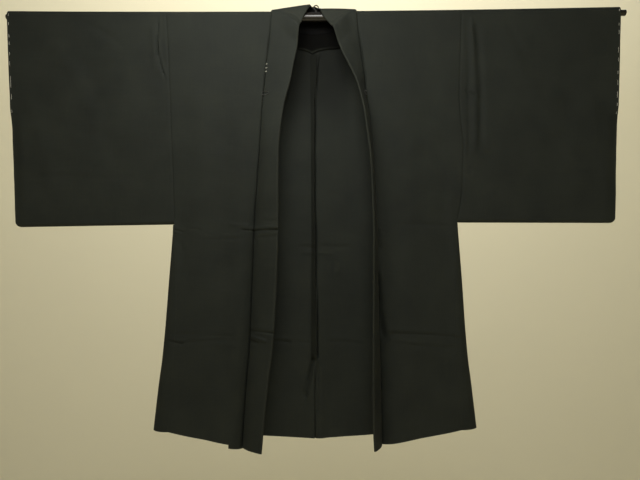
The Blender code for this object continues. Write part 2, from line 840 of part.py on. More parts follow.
def main():
    for obj in list(bpy.data.objects):
        bpy.data.objects.remove(obj)
    black_silk = make_material("Black silk", (0.021, 0.022, 0.018), 0.62)
    lining_silk = make_material("Lining silk", (0.010, 0.010, 0.010), 0.50)
    cord = make_material("Black cord", (0.015, 0.015, 0.013), 0.70)
    black_enamel = make_material("Black enamel", (0.020, 0.016, 0.014), 0.20)
    for side in (LEFT, RIGHT):
        body_panel(side, black_silk)
        sleeve(side, black_silk)
        gusset(side, black_silk)
        collar(side, black_silk)
        cord_loop(side, cord)
    hem_turning(black_silk)
    shoulder_lining(lining_silk)
    back_seam_binding(black_silk)
    rod(black_enamel)
    hook(black_enamel)
    follow_bow()


main()
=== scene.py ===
import math
from collections import namedtuple

import bmesh
import bpy
import numpy as np
from mathutils import Euler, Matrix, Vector


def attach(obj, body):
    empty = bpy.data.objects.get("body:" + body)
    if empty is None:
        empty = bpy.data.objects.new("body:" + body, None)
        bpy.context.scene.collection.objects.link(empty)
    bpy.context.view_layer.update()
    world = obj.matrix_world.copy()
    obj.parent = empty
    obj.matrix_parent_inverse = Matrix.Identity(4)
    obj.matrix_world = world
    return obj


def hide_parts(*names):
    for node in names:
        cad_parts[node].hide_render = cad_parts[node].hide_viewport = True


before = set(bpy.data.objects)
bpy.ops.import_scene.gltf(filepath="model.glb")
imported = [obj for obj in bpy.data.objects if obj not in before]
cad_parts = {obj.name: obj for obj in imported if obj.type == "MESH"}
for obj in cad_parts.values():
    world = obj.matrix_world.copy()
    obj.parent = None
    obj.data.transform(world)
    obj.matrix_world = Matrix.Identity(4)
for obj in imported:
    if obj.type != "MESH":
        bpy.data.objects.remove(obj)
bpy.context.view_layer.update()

print("stage: frame loaded", len(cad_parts), "nodes")

# the garment's sizes in metres, as the solids have them
cut = {
    "cloth": 0.0011,          # the cloth that shows is a little thinner than its solid
    "seamGap": 0.0003,
    "gussetGap": 0.0002,
    "collarGap": 0.0001,
    "foldRadius": 0.0017,     # turned edge of the collar
    "rodAxisZ": -0.0257,
    "rodBow": 0.0052,         # the rod curves up by this much at 0.7 m from its middle
    "rest": 0.0122,           # cloth round the rod, from its axis
    "frontHang": 0.020,       # how far the fronts hang from the rod's axis at the hem
    "slide": -0.005,          # the garment's centre line, from the middle of the rod
    "sway": -0.004,           # how much further to the left it hangs at the hem
    "sleeveFootZ": -0.4945,
    "neckHalf": 0.097,
    "neckDrop": 0.030,        # the back neck below the rod's axis
    "neckStand": 0.021,       # and behind it
    "sleeveReach": 0.6915,    # centre line to cuff
    "cuffLean": 0.0115,       # how much shorter the sleeve is at its foot
    "cuffOpening": 0.245,
    "sleeveCorner": 0.012,    # radius of the sleeve's outer bottom corner
    "sleeveFootDrop": 0.0035,
    "footFold": 0.0070,
    "hemSide": -0.960,        # heights of the hem at the side, the collar's seam and the centre back
    "frontHemSeam": -0.9952,
    "backHemCentre": -0.9940,
    "backDepth": 0.027,       # the back behind the rod's axis at the hem
    "bindingFoot": -0.811,
    "stripLeft": -0.0092,     # the left edge of the strip, from the centre line
    "stripTop": -0.100,
}
left, right = -1, 1
sideWord = {left: "left", right: "right"}


def inMillimetres(rowType, rows):
    return [rowType(*(value / 1000 for value in row)) for row in rows]


# where front and back end at the side, from the centre line, and how far they stand from the rod's axis
sideRow = namedtuple("sideRow", "z left right depth")
sideRows = inMillimetres(sideRow, [
    (-25.7, 333, 333, 12.2),
    (-113, 329, 330, 11.8),
    (-200, 326.2, 327.2, 11.2),
    (-260, 325, 330, 10.8),
    (-315, 323.5, 335.5, 10.3),
    (-372, 321.5, 334.5, 9.7),
    (-445, 320, 330, 8.8),
    (-494.5, 318.5, 320.5, 8),
    (-600, 315, 316, 10.5),
    (-700, 313, 313.5, 14),
    (-800, 318, 318, 17),
    (-960, 329, 328, 20),
])

# the gussets' folded edge from the centre line
gussetRow = namedtuple("gussetRow", "z fold")
gussetRows = inMillimetres(gussetRow, [
    (-496, 322.2),
    (-640, 333.8),
    (-733, 340.6),
    (-808, 347.7),
    (-850, 353.5),
    (-960, 366.5),
])

# seam and folded edge from the centre line, and how far the edge stands forward
collarRow = namedtuple("collarRow", "z seam fold reach")
collarRows = {
    left: inMillimetres(collarRow, [
        (-60, 98.5, 33.1, 8),
        (-103, 103.5, 37.5, 10),
        (-133, 107, 44.2, 12),
        (-172, 111, 51.5, 14),
        (-238, 117.5, 68, 18),
        (-337, 124.5, 79.2, 20),
        (-516, 138.7, 81.8, 16),
        (-669, 144.6, 87.1, 13),
        (-762, 147.8, 92.5, 12),
        (-857, 155, 103.6, 11),
        (-995, 165.5, 118, 10),
    ]),
    right: inMillimetres(collarRow, [
        (-60, 99.5, 43, 8),
        (-93, 103.5, 53.7, 12),
        (-117, 107, 62.4, 16),
        (-136, 109.5, 71.3, 21),
        (-165, 113, 84.1, 28),
        (-190, 113, 93.5, 34),
        (-261, 120.5, 108.5, 42),
        (-388, 126.2, 121.5, 45),
        (-518, 132, 124.3, 47),
        (-689, 137.8, 124, 47),
        (-815, 144.3, 124, 46),
        (-958, 147.4, 125.8, 45),
        (-995, 147.2, 127.5, 44),
    ]),
}

# the folded edge over the rod; turn is the angle round it, then minus the share of the back neck
neckRow = namedtuple("neckRow", "turn across y z")
shadedNeckRows = {
    left: [
        neckRow(180, 0.0225, -0.0140, -0.0290),
        neckRow(150, 0.0178, -0.0125, -0.0200),
        neckRow(115, 0.0128, -0.0070, -0.0090),
        neckRow(80, 0.0090, 0.0010, 0.0005),
        neckRow(40, 0.0068, 0.0095, 0.0045),
        neckRow(0, 0.0055, 0.0165, 0.0065),
        neckRow(-25, 0.0042, 0.0215, 0.0082),
        neckRow(-50, 0.0028, 0.0245, 0.0096),
        neckRow(-75, 0.0014, 0.0262, 0.0106),
        neckRow(-100, 0.0000, 0.0270, 0.0110),
    ],
    right: [
        neckRow(180, 0.0215, -0.0140, -0.0300),
        neckRow(150, 0.0175, -0.0130, -0.0218),
        neckRow(115, 0.0152, -0.0080, -0.0142),
        neckRow(80, 0.0140, 0.0000, -0.0097),
        neckRow(40, 0.0120, 0.0090, -0.0042),
        neckRow(0, 0.0095, 0.0165, 0.0010),
        neckRow(-25, 0.0070, 0.0215, 0.0056),
        neckRow(-50, 0.0045, 0.0245, 0.0086),
        neckRow(-75, 0.0022, 0.0262, 0.0103),
        neckRow(-100, 0.0000, 0.0270, 0.0110),
    ],
}


def follow(rows, column, at, by="z"):
    # smooth reading of a table that never overshoots a row; at may be an array
    keys = np.array([getattr(row, by) for row in rows], float)[::-1]
    values = np.array([getattr(row, column) for row in rows], float)[::-1]
    rises = np.diff(values) / np.diff(keys)
    before, after = np.append(rises[:1], rises), np.append(rises, rises[-1:])
    both = before * after
    slopes = np.where(both > 0, 2 * both / np.where(both > 0, before + after, 1.0), 0.0)
    at = np.clip(at, keys[0], keys[-1])
    i = np.clip(np.searchsorted(keys, at) - 1, 0, len(rises) - 1)
    span = keys[i + 1] - keys[i]
    t = (at - keys[i]) / span
    return (
        values[i] * (2 * t**3 - 3 * t**2 + 1)
        + values[i + 1] * (3 * t**2 - 2 * t**3)
        + span * slopes[i] * (t**3 - 2 * t**2 + t)
        + span * slopes[i + 1] * (t**3 - t**2)
    )


def mix(a, b, t):
    return a + (b - a) * t


def ease(t):
    t = np.clip(t, 0.0, 1.0)
    return t * t * (3 - 2 * t)


def bump(d, width):
    return np.exp(-((d / width) ** 2))


def centreLine(z):
    below = (cut["sleeveFootZ"] - z) / (cut["sleeveFootZ"] - cut["hemSide"])
    return cut["slide"] + cut["sway"] * ease(below)


def place(side, across, y, z):
    across, y, z = np.broadcast_arrays(across, y, z)
    return np.stack([centreLine(z) + side * across, y, z], -1)


def sideEdge(side, z):
    return follow(sideRows, "left" if side == left else "right", z)


def sideDepth(z):
    return follow(sideRows, "depth", z)


def collarSeam(side, z):
    top = collarRows[side][0]
    high = mix(top.seam, cut["neckHalf"], ease((z - top.z) / (cut["rodAxisZ"] - top.z)))
    return np.where(z <= top.z, follow(collarRows[side], "seam", z), high)


def lowShare(z):
    return (cut["rodAxisZ"] - z) / (cut["rodAxisZ"] - cut["backHemCentre"])


# creases: depth below zero is a trough, lip makes one side stand forward, and where it is below zero
# that is the side below or to the left; x and z are as they lie on the cloth
creaseRow = namedtuple("creaseRow", "x1 z1 x2 z2 bow width depth lip", defaults=(0.0,))
frontCreases = inMillimetres(creaseRow, [
    # storage fold below the underarm, over the left front and its collar
    (-336, -505, -300, -514, 1, 2.2, -1.2, 0.6),
    (-330, -514, -310, -523, 1, 2.2, -0.9),
    (-286, -505, -262, -509, 1, 2.4, -0.6),
    (-262, -530, -160, -527, 1, 2.6, -0.9, 0.4),
    (-250, -518, -215, -522, -1, 2.6, -0.5),
    (-200, -494, -150, -498, -2, 3.6, 0.6),
    (-172, -508, -140, -511, 0, 2.6, -1.8, 1),
    (-152, -511, -78, -508, 1, 2.2, -3.2, 2.2),
    (-146, -515, -136, -540, 0, 2.4, -3),
    (-120, -486, -82, -490, -1, 3, -0.8),
    (-140, -528, -84, -524, 1, 4, -1),
    # storage fold above the hem
    (-350, -738, -255, -741, -2, 3.4, -0.6),
    (-338, -758, -300, -764, 0, 3, -2.2, 0.6),
    (-310, -762, -215, -757, 2, 3.4, -0.7),
    (-262, -745, -185, -747, 1, 4, -0.6, 0.4),
    (-230, -766, -175, -768, 1, 5, 0.6),
    (-160, -738, -88, -740, 2, 3.4, -2.4, 1),
    (-154, -749, -112, -757, 1, 3, 2.4),
    (-158, -760, -130, -764, 1, 2.6, -2),
    (148, -742, 345, -758, 4, 4, -1.3, 1.2),
    (195, -767, 330, -776, -3, 3.6, -1),
    (155, -757, 225, -764, 2, 5, 1),
    (165, -500, 325, -505, 3, 5, -0.6),
    # pull lines from the left underarm and beside the collar on the right
    (-349, -498, -300, -560, 4, 5, -1),
    (-328, -470, -318, -640, 3, 8, 1.2),
    (132, -600, 147, -760, -2, 6, -6),
    (138, -672, 147, -694, 0, 2.2, 2.2),
    (133, -505, 139, -555, 2, 3.4, -2.2, 0.6),
    (150, -560, 154, -640, 2, 6, -1.2),
    (300, -430, 318, -610, -4, 9, 1.2),
    # long soft flutes in the fronts
    (-262, -130, -268, -930, 6, 26, 1.6),
    (-200, -240, -205, -900, -6, 20, -1.4),
    (212, -140, 222, -930, -6, 24, 1.6),
    (276, -260, 284, -900, 8, 22, -1.3),
    # tucks where the sleeves are set in
    (-355, -22, -359.2, -100, 0, 1.8, -1.8, -0.7),
    (-359.4, -74, -339.5, -170, -4.8, 1.8, -3, -1.4),
    (-364, -20, -364, -120, 0, 3, 1),
    (-370, -40, -363, -150, 1, 6, 1),
    (339, -20, 342, -370, 2, 4, -1),
    (344, -20, 347, -170, 1, 2.4, -1.6, 0.8),
    (346, -30, 356, -350, 6, 7, 2.2),
    (360, -40, 368, -330, 6, 6, -2),
    (336, -198, 362, -216, 1, 2.4, -3.6, 1.4),
    (340, -222, 358, -230, 1, 2.6, 1.6),
    (338, -262, 352, -270, 1, 2.6, -1.8),
    (340, -318, 350, -330, 1, 2.6, -1.4),
    (338, -372, 352, -382, 1, 3, -1.8),
    # sleeves: soft pulls and the faint fold near the foot
    (-660, -386, -390, -394, 4, 4, -0.7),
    (-600, -80, -480, -300, 12, 20, 1.4),
    (-520, -110, -420, -420, -14, 24, -1.3),
    (-655, -200, -600, -440, 10, 16, 1),
    (-560, -24, -430, -100, 6, 8, -0.8),
    (385, -391, 640, -384, -4, 4, -0.7),
    (440, -90, 560, -310, -12, 20, 1.4),
    (580, -120, 500, -430, 14, 24, -1.3),
    (625, -180, 655, -420, -8, 14, 1),
    (430, -30, 480, -140, -6, 9, -0.8),
])
backCreases = inMillimetres(creaseRow, [
    # the left foot of the tent below the strip, and its right side
    (-11, -800, -33.5, -905, 1, 3.4, 4.6, -3),
    (-2, -822, -4.5, -950, 0, 4, 2),
    # seen through the opening, then the same wear over the rest of the back
    (-45, -548, -4, -552, 2, 3.2, 1.2),
    (0, -545, 80, -548, -2, 3.2, 1),
    (-40, -562, 40, -566, 2, 4, -0.8),
    (44, -575, 34, -612, 2, 2.4, 1.6),
    (52, -590, 46, -612, 1, 2.6, -1.2),
    (-112, -766, -62, -770, 1, 3, 2.2, -1.4),
    (-60, -768, -10, -775, 2, 3, 1),
    (15, -770, 110, -776, 3, 4, 0.9),
    (-330, -515, -125, -511, 4, 3.6, -1.4, 1),
    (130, -516, 325, -510, -4, 3.6, -1.2, 0.8),
    (-345, -535, -180, -529, 3, 4, -0.9),
    (-350, -750, -130, -758, -4, 4, -1.3, 1),
    (130, -754, 345, -748, 4, 4, -1.2, 1),
    (155, -770, 300, -774, -3, 4, -0.8),
    (-230, -160, -245, -930, 10, 28, 1.8),
    (-150, -120, -135, -900, -10, 24, -1.6),
    (150, -130, 165, -920, 10, 26, 1.7),
    (245, -220, 240, -900, -8, 24, -1.5),
    (-360, -30, -340, -160, 2, 3, -1.4, -1.8),
    (342, -45, 356, -330, 10, 9, -1.4),
    (-650, -390, -390, -396, -4, 4, -0.7),
    (400, -394, 650, -386, 4, 4, -0.7),
    (-620, -90, -500, -320, 12, 22, 1.4),
    (-470, -130, -420, -420, -12, 22, -1.2),
    (450, -110, 560, -330, -12, 22, 1.4),
    (600, -150, 540, -430, 12, 22, -1.2),
])
creaseGain = 1.45                # every crease is this many times as deep as its row says
foldBands = [-0.508, -0.748]     # heights of the two storage folds


def creaseLift(rows, x, z):
    total = np.zeros(np.broadcast(x, z).shape)
    for n, row in enumerate(rows):
        dx, dz = row.x2 - row.x1, row.z2 - row.z1
        length = math.hypot(dx, dz)
        along = ((x - row.x1) * dx + (z - row.z1) * dz) / length**2
        off = ((z - row.z1) * dx - (x - row.x1) * dz) / length
        off = off - row.bow * 4 * along * (1 - along)
        ends = ease(along / 0.12) * ease((1 - along) / 0.15)
        uneven = 0.80 + 0.20 * np.sin(11 * along + 2.3 * n) * np.cos(5 * along + n)
        shape = row.depth * (bump(off, row.width) - 0.35 * bump(off - 2.2 * row.width, 1.6 * row.width))
        if row.lip:
            away = off * math.copysign(1, row.lip)
            rise = 1 / (1 + np.exp(-np.clip(away / (0.35 * row.width), -40, 40)))
            shape = shape + abs(row.lip) * rise * np.exp(-np.maximum(away, 0) / 0.010)
        total += creaseGain * ends * uneven * shape
    return total


# very low waves, a hand wide and less, which catch the light unevenly; each is a product of two waves,
# in radians per metre
rumpleRow = namedtuple("rumpleRow", "x1 z1 turn1 x2 z2 turn2 height")
rumpleRows = [
    rumpleRow(31, 17, 1.0, 13, -23, 2.1, 0.00050),
    rumpleRow(67, -29, 1.7, 19, 53, -1.0, 0.00032),
    rumpleRow(97, 61, 0.7, 59, -101, 1.0, 0.00024),
    rumpleRow(211, 139, 1.3, 157, -233, 1.0, 0.00009),
]


def softRumple(x, z, turn):
    total = 0.0
    for row in rumpleRows:
        one = np.sin(row.x1 * x + row.z1 * z + row.turn1 * turn)
        two = np.sin(row.x2 * x + row.z2 * z + row.turn2 * turn)
        total = total + row.height * (one * two)
    return total


def unit(v):
    return v / np.linalg.norm(v, axis=-1, keepdims=True)


def lengthAlong(points):
    return np.concatenate([[0], np.cumsum(np.linalg.norm(np.diff(points, axis=0), axis=1))])


def clearOfRod(z):
    return ease((-0.045 - z) / 0.05)


def frontLift(x, z):
    # how far the cloth comes forward of its smooth form, on the side of the opening
    return creaseLift(frontCreases, x, z) * ease((-0.022 - z) / 0.03) + softRumple(x, z, 0.4) * clearOfRod(z)


def backLift(x, z):
    return (creaseLift(backCreases, x, z) + softRumple(x, z, 2.9)) * clearOfRod(z)


def bowRise(x, z):
    # the rod's bow lifts the cloth near it
    return cut["rodBow"] * (x / 0.7) ** 2 * (1 - ease((-0.045 - z) / 0.30))


def spaced(first, last, pitch, dense=()):
    # steps of about a pitch, closer together about each dense place, which is (place, reach, pitch there)
    fine = np.linspace(first, last, 4001)
    density = np.full(4001, 1 / pitch)
    for at, reach, close in dense:
        density = np.maximum(density, 1 / (pitch - (pitch - close) * bump(fine - at, reach)))
    total = np.concatenate([[0], np.cumsum((density[1:] + density[:-1]) / 2 * abs(last - first) / 4000)])
    return np.interp(np.linspace(0, total[-1], math.ceil(total[-1]) + 1), total, fine)


# the front sinks towards its collar seam: top and foot depth and width, then the groove of the seam itself
valleyRow = namedtuple("valleyRow", "top foot start run width groove grooveWidth")
valley = {
    left: valleyRow(0.0006, 0.0185, -0.24, 0.42, 0.013, 0.0044, 0.0022),
    right: valleyRow(0.0006, 0.0165, -0.50, 0.30, 0.013, 0.0074, 0.0030),
}


def valleyDepth(side, away, z):
    row = valley[side]
    away = np.maximum(away, 0.0)
    wide = mix(row.top, row.foot, ease((row.start - z) / row.run)) * ease((-0.035 - z) / 0.06)
    narrow = mix(0.0014, row.groove, ease((-0.045 - z) / 0.06)) * ease((-0.016 - z) / 0.03)
    return wide * np.exp(-away / row.width) + narrow * bump(away, row.grooveWidth)


# how far the cloth swells, waves and stands off between its seams
hang = {
    "frontSwell": 0.0022, "frontWave": 0.0020, "backTop": 0.0215, "backWave": 0.0025,
    "backWaves": 26,                                                # in radians per metre
    "tentRidge": 0.0052, "tentFoot": 0.022, "tentRight": 0.0030,    # the tent below the strip
    "pinch": 0.0036, "pinchLow": 0.0022, "pinchFoot": 0.0018,       # the fold along the strip
    "pinchWidth": 0.0022, "leftPinch": 0.0006,
}


def frontPoint(side, u, z):
    # u runs from the side at 0 to the collar's seam at 1
    across = mix(sideEdge(side, z), collarSeam(side, z), u)
    down = lowShare(z)
    depth = mix(sideDepth(z), mix(cut["rest"], cut["frontHang"], down), ease(u))
    depth = depth + hang["frontSwell"] * down * np.sin(math.pi * u)
    depth = depth + hang["frontWave"] * down**2 * np.sin(3 * math.pi * u) * np.sin(math.pi * u)
    depth = depth - valleyDepth(side, across - collarSeam(side, z), z)
    point = place(side, across, -depth, z)
    point[..., 1] -= frontLift(point[..., 0], point[..., 2])
    return point


def frontHem(u):
    return mix(cut["hemSide"], cut["frontHemSeam"], u)


def neckSag(across):
    return np.maximum(0.0, 1 - (across / cut["neckHalf"]) ** 2)


def neckDepth(across):
    return mix(cut["rest"], cut["neckStand"], neckSag(across))


def necklineZ(across):
    return cut["rodAxisZ"] - cut["neckDrop"] * neckSag(across)


def backHem(across):
    return mix(cut["backHemCentre"], cut["hemSide"], (across / sideRows[-1].left) ** 1.5)


def tentFold(x, z):
    # the loose lower back stands forward in a tent below the end of the strip; its left foot wanders out
    opening = ease((cut["bindingFoot"] + 0.006 - z) / 0.10)
    seamX = cut["slide"] + cut["sway"] * 0.9
    foot = seamX - 0.004 - hang["tentFoot"] * ease((cut["bindingFoot"] - z) / 0.09)
    slope = np.clip((x - foot) / (seamX - foot), 0, 1)
    leftSide = ease(slope) * bump((z + 0.86) / 0.11, 1)
    ridge = np.where(x < seamX, hang["tentRidge"] * leftSide, 0.0)
    return opening * (ridge + hang["tentRight"] * bump(x - seamX - 0.014, 0.012))


# the strip over the centre back seam: its right edge from the centre line, where the rest is turned under
stripRow = namedtuple("stripRow", "z right")
stripRows = inMillimetres(stripRow, [
    (-95, 12.4), (-155, 5.2), (-183, 1.9), (-211, -0.6),
    (-323, -1.5), (-462, -2.5), (-518, -0.8), (-630, -0.8),
    (-686, 1.7), (-770, 2.6), (-811, 3.6),
])


def stripGroove(x, z):
    # the back is pinched into a narrow fold along the right of the strip, and a shallower one on its left
    off = x - follow(stripRows, "right", z)
    along = ease((cut["stripTop"] - z) / 0.012) * ease((z - cut["bindingFoot"] - 0.002) / 0.006)
    lower = ease((-0.50 - z) / 0.12)
    deep = hang["pinch"] + hang["pinchLow"] * ease((-0.15 - z) / 0.1) + hang["pinchFoot"] * lower
    deep = deep * (0.88 + 0.12 * np.sin(23 * z))
    rightSide = bump(off - 0.0020, hang["pinchWidth"])
    rightSide = rightSide + 0.25 * np.exp(-np.maximum(off, 0) / 0.010) * (off > 0)
    leftSide = hang["leftPinch"] * (1 + lower) * bump(x - cut["stripLeft"] + 0.0012, 0.0016)
    return along * (deep * rightSide + leftSide)


def backPoint(side, across, z, inside=None):
    # inside, where given, is how far a piece stands off the back, and it bridges the pinched fold
    down = lowShare(z)
    share = 1 - np.minimum(across / sideEdge(side, z), 1.0) ** 2
    low = mix(sideDepth(z), mix(hang["backTop"], cut["backDepth"], down), share)
    low = low + hang["backWave"] * down**2 * np.sin(hang["backWaves"] * across) * share
    depth = mix(neckDepth(across), low, ease((cut["rodAxisZ"] - z) / 0.13))
    point = place(side, across, depth if inside is None else depth - inside, z)
    point[..., 1] -= tentFold(point[..., 0], point[..., 2])
    point[..., 1] += backLift(point[..., 0], point[..., 2])
    if inside is None:
        point[..., 1] += stripGroove(point[..., 0] - centreLine(z), point[..., 2])
    return point


def overRod(side, across, turn):
    angle = np.radians(turn)
    y = cut["rest"] * np.cos(angle)
    z = cut["rodAxisZ"] + cut["rest"] * np.sin(angle)
    across, y, z = np.broadcast_arrays(across, y, z)
    return np.stack([cut["slide"] + side * across, y, z], -1)


def fromHex(text):
    def channel(v):
        v = int(v, 16) / 255
        return v / 12.92 if v <= 0.04045 else ((v + 0.055) / 1.055) ** 2.4

    return (channel(text[1:3]), channel(text[3:5]), channel(text[5:7]), 1.0)


def addNode(tree, kind, settings=None, inputs=None, links=None):
    node = tree.nodes.new(kind)
    for key, value in (settings or {}).items():
        setattr(node, key, value)
    for key, value in (inputs or {}).items():
        node.inputs[key].default_value = value
    for key, socket in (links or {}).items():
        tree.links.new(socket, node.inputs[key])
    return node


def newMaterial(name, base):
    material = bpy.data.materials.new(name)
    material.use_nodes = True
    tree = material.node_tree
    shader = tree.nodes["Principled BSDF"]
    for key, value in base.items():
        shader.inputs[key].default_value = value
    return material, tree, shader


# real threads are 0.2 mm apart, drawn coarser so that they show close up; slubs are their thick places
# the darkest of these colours is painted shade for the inside of the neck, and the edge colour also paints a
# highlight on the collar's turn by the rod
silkLook = {"deep": "#1b1e1b", "worn": "#272a25", "edge": "#2a2c26", "paintedShade": "#040404", "threadMm": 1.3,
            "streakMm": 2.4, "warpSlubMm": 71.4, "weftSlubMm": 45.5, "mottleMm": 77, "lintMm": 6.25,
            "bumpHeight": 0.25, "threadHeight": 0.00022}


def silkThreads(tree, look):
    # the weave and its slubs as heights, the lint on the cloth, and the tone that they make together
    uv = addNode(tree, "ShaderNodeUVMap", {"uv_map": "cloth"}).outputs["UV"]
    axes = addNode(tree, "ShaderNodeSeparateXYZ", links={0: uv})
    ribs = []
    for axis in ("X", "Y"):
        wave = addNode(tree, "ShaderNodeMath", {"operation": "MULTIPLY"},
                       {1: math.pi * 1000 / look["threadMm"]}, {0: axes.outputs[axis]})
        wave = addNode(tree, "ShaderNodeMath", {"operation": "SINE"}, links={0: wave.outputs[0]})
        ribs.append(wave.outputs[0])
    weave = addNode(tree, "ShaderNodeMath", {"operation": "MULTIPLY"}, links={0: ribs[0], 1: ribs[1]})
    # slubs: long in the warp, shorter in the weft
    streaks = []
    thin, warp, weft = 1000 / look["streakMm"], 1000 / look["warpSlubMm"], 1000 / look["weftSlubMm"]
    for stretch in ((thin, warp, 1), (weft, thin, 1)):
        mapped = addNode(tree, "ShaderNodeMapping", inputs={"Scale": stretch}, links={"Vector": uv})
        streak = addNode(tree, "ShaderNodeTexNoise", inputs={"Scale": 1.0, "Detail": 3.0},
                         links={"Vector": mapped.outputs[0]})
        streaks.append(streak.outputs["Fac"])
    slub = addNode(tree, "ShaderNodeMath", {"operation": "ADD"}, links={0: streaks[0], 1: streaks[1]})
    where = addNode(tree, "ShaderNodeTexCoord").outputs["Object"]
    mottle = addNode(tree, "ShaderNodeTexNoise", links={"Vector": where},
                     inputs={"Scale": 1000 / look["mottleMm"], "Detail": 4.0, "Roughness": 0.55})
    lint = addNode(tree, "ShaderNodeTexNoise", links={"Vector": where},
                   inputs={"Scale": 1000 / look["lintMm"], "Detail": 3.0})
    tone = addNode(tree, "ShaderNodeMath", {"operation": "MULTIPLY_ADD"},
                   {1: 0.45}, {0: slub.outputs[0], 2: mottle.outputs["Fac"]})
    tone = addNode(tree, "ShaderNodeMath", {"operation": "MULTIPLY_ADD"},
                   {1: 0.25}, {0: lint.outputs["Fac"], 2: tone.outputs[0]})
    return weave.outputs[0], slub.outputs[0], lint.outputs["Fac"], tone.outputs[0]


def wovenSilk(name, look, roughness, gloss):
    # black plain-weave silk: dull, with a soft grazing sheen and faint uneven threads
    material, tree, shader = newMaterial(name, {
        "Roughness": roughness, "IOR": 1.46, "Specular IOR Level": gloss,
        "Sheen Weight": 0.02, "Sheen Roughness": 0.45, "Sheen Tint": fromHex("#c4c4ba"),
    })
    weave, slub, lint, tone = silkThreads(tree, look)
    ramp = addNode(tree, "ShaderNodeMapRange", inputs={"From Min": 0.72, "From Max": 1.40},
                   links={"Value": tone})
    body = addNode(tree, "ShaderNodeMix", {"data_type": "RGBA"},
                   {"A": fromHex(look["deep"]), "B": fromHex(look["worn"])},
                   {"Factor": ramp.outputs["Result"]})
    # the wear attribute lightens rubbed edges, on the collar's turn by the rod it paints a highlight with
    # the same colour, and below zero it paints shade
    wearAndPaintedLight = addNode(tree, "ShaderNodeAttribute", {"attribute_name": "wearAndPaintedLight"})
    rub = addNode(tree, "ShaderNodeMath", {"operation": "MULTIPLY"},
                  links={0: wearAndPaintedLight.outputs["Fac"], 1: lint})
    colour = addNode(tree, "ShaderNodeMix", {"data_type": "RGBA"}, {"B": fromHex(look["edge"])},
                     {"Factor": rub.outputs[0], "A": body.outputs["Result"]})
    # wear below zero is painted shade: darker, rougher cloth where the inside of the neck lies in shadow
    hidden = addNode(tree, "ShaderNodeMapRange", inputs={"From Min": 0.0, "From Max": -1.0},
                     links={"Value": wearAndPaintedLight.outputs["Fac"]})
    colour = addNode(tree, "ShaderNodeMix", {"data_type": "RGBA"}, {"B": fromHex(look["paintedShade"])},
                     {"Factor": hidden.outputs["Result"], "A": colour.outputs["Result"]})
    tree.links.new(colour.outputs["Result"], shader.inputs["Base Color"])
    rough = addNode(tree, "ShaderNodeMapRange", links={"Value": tone}, inputs={
        "From Min": 0.7, "From Max": 1.4, "To Min": roughness - 0.07, "To Max": roughness + 0.08})
    rough = addNode(tree, "ShaderNodeMix", inputs={"B": 1.0},
                    links={"Factor": hidden.outputs["Result"], "A": rough.outputs["Result"]})
    tree.links.new(rough.outputs["Result"], shader.inputs["Roughness"])
    height = addNode(tree, "ShaderNodeMath", {"operation": "MULTIPLY_ADD"}, {1: 0.6}, {0: slub, 2: weave})
    relief = addNode(tree, "ShaderNodeBump", links={"Height": height.outputs[0]},
                     inputs={"Strength": look["bumpHeight"], "Distance": look["threadHeight"]})
    tree.links.new(relief.outputs["Normal"], shader.inputs["Normal"])
    return material


def twistedThread(name, colour, shade, turnMm):
    # spun thread or cord: matt, with slanting strands (at scale 1 a wave's bands lie tau / 20 apart)
    material, tree, shader = newMaterial(name, {
        "Roughness": 0.75, "IOR": 1.5, "Sheen Weight": 0.25, "Sheen Roughness": 0.5})
    where = addNode(tree, "ShaderNodeTexCoord").outputs["Object"]
    turned = addNode(tree, "ShaderNodeMapping", inputs={"Rotation": (0.6, 0.5, 0.4)},
                     links={"Vector": where})
    strands = addNode(tree, "ShaderNodeTexWave", links={"Vector": turned.outputs[0]},
                      inputs={"Scale": math.tau / 20 * 1000 / turnMm, "Distortion": 1.5})
    colours = addNode(tree, "ShaderNodeMix", {"data_type": "RGBA"},
                      {"A": fromHex(shade), "B": fromHex(colour)}, {"Factor": strands.outputs["Fac"]})
    tree.links.new(colours.outputs["Result"], shader.inputs["Base Color"])
    relief = addNode(tree, "ShaderNodeBump", inputs={"Strength": 0.5, "Distance": 0.0002},
                     links={"Height": strands.outputs["Fac"]})
    tree.links.new(relief.outputs["Normal"], shader.inputs["Normal"])
    return material


enamelLook = {"deep": "#100e0c", "rubbed": "#1f1b17", "spotMm": 3.125}


def blackEnamel(name, gloss, smoothest, roughest):
    # black enamel on steel: a sharp highlight along the rod, dulled a little where it is rubbed
    material, tree, shader = newMaterial(name, {
        "Roughness": 0.25, "IOR": 1.4, "Coat Weight": gloss, "Coat Roughness": 0.09})
    where = addNode(tree, "ShaderNodeTexCoord").outputs["Object"]
    spots = addNode(tree, "ShaderNodeTexNoise", links={"Vector": where},
                    inputs={"Scale": 1000 / enamelLook["spotMm"], "Detail": 5.0})
    colour = addNode(tree, "ShaderNodeMix", {"data_type": "RGBA"}, links={"Factor": spots.outputs["Fac"]},
                     inputs={"A": fromHex(enamelLook["deep"]), "B": fromHex(enamelLook["rubbed"])})
    tree.links.new(colour.outputs["Result"], shader.inputs["Base Color"])
    rough = addNode(tree, "ShaderNodeMapRange", inputs={"To Min": smoothest, "To Max": roughest},
                    links={"Value": spots.outputs["Fac"]})
    tree.links.new(rough.outputs["Result"], shader.inputs["Roughness"])
    return material


blackSilk = wovenSilk("Black plain-weave silk", silkLook, 0.78, 0.17)
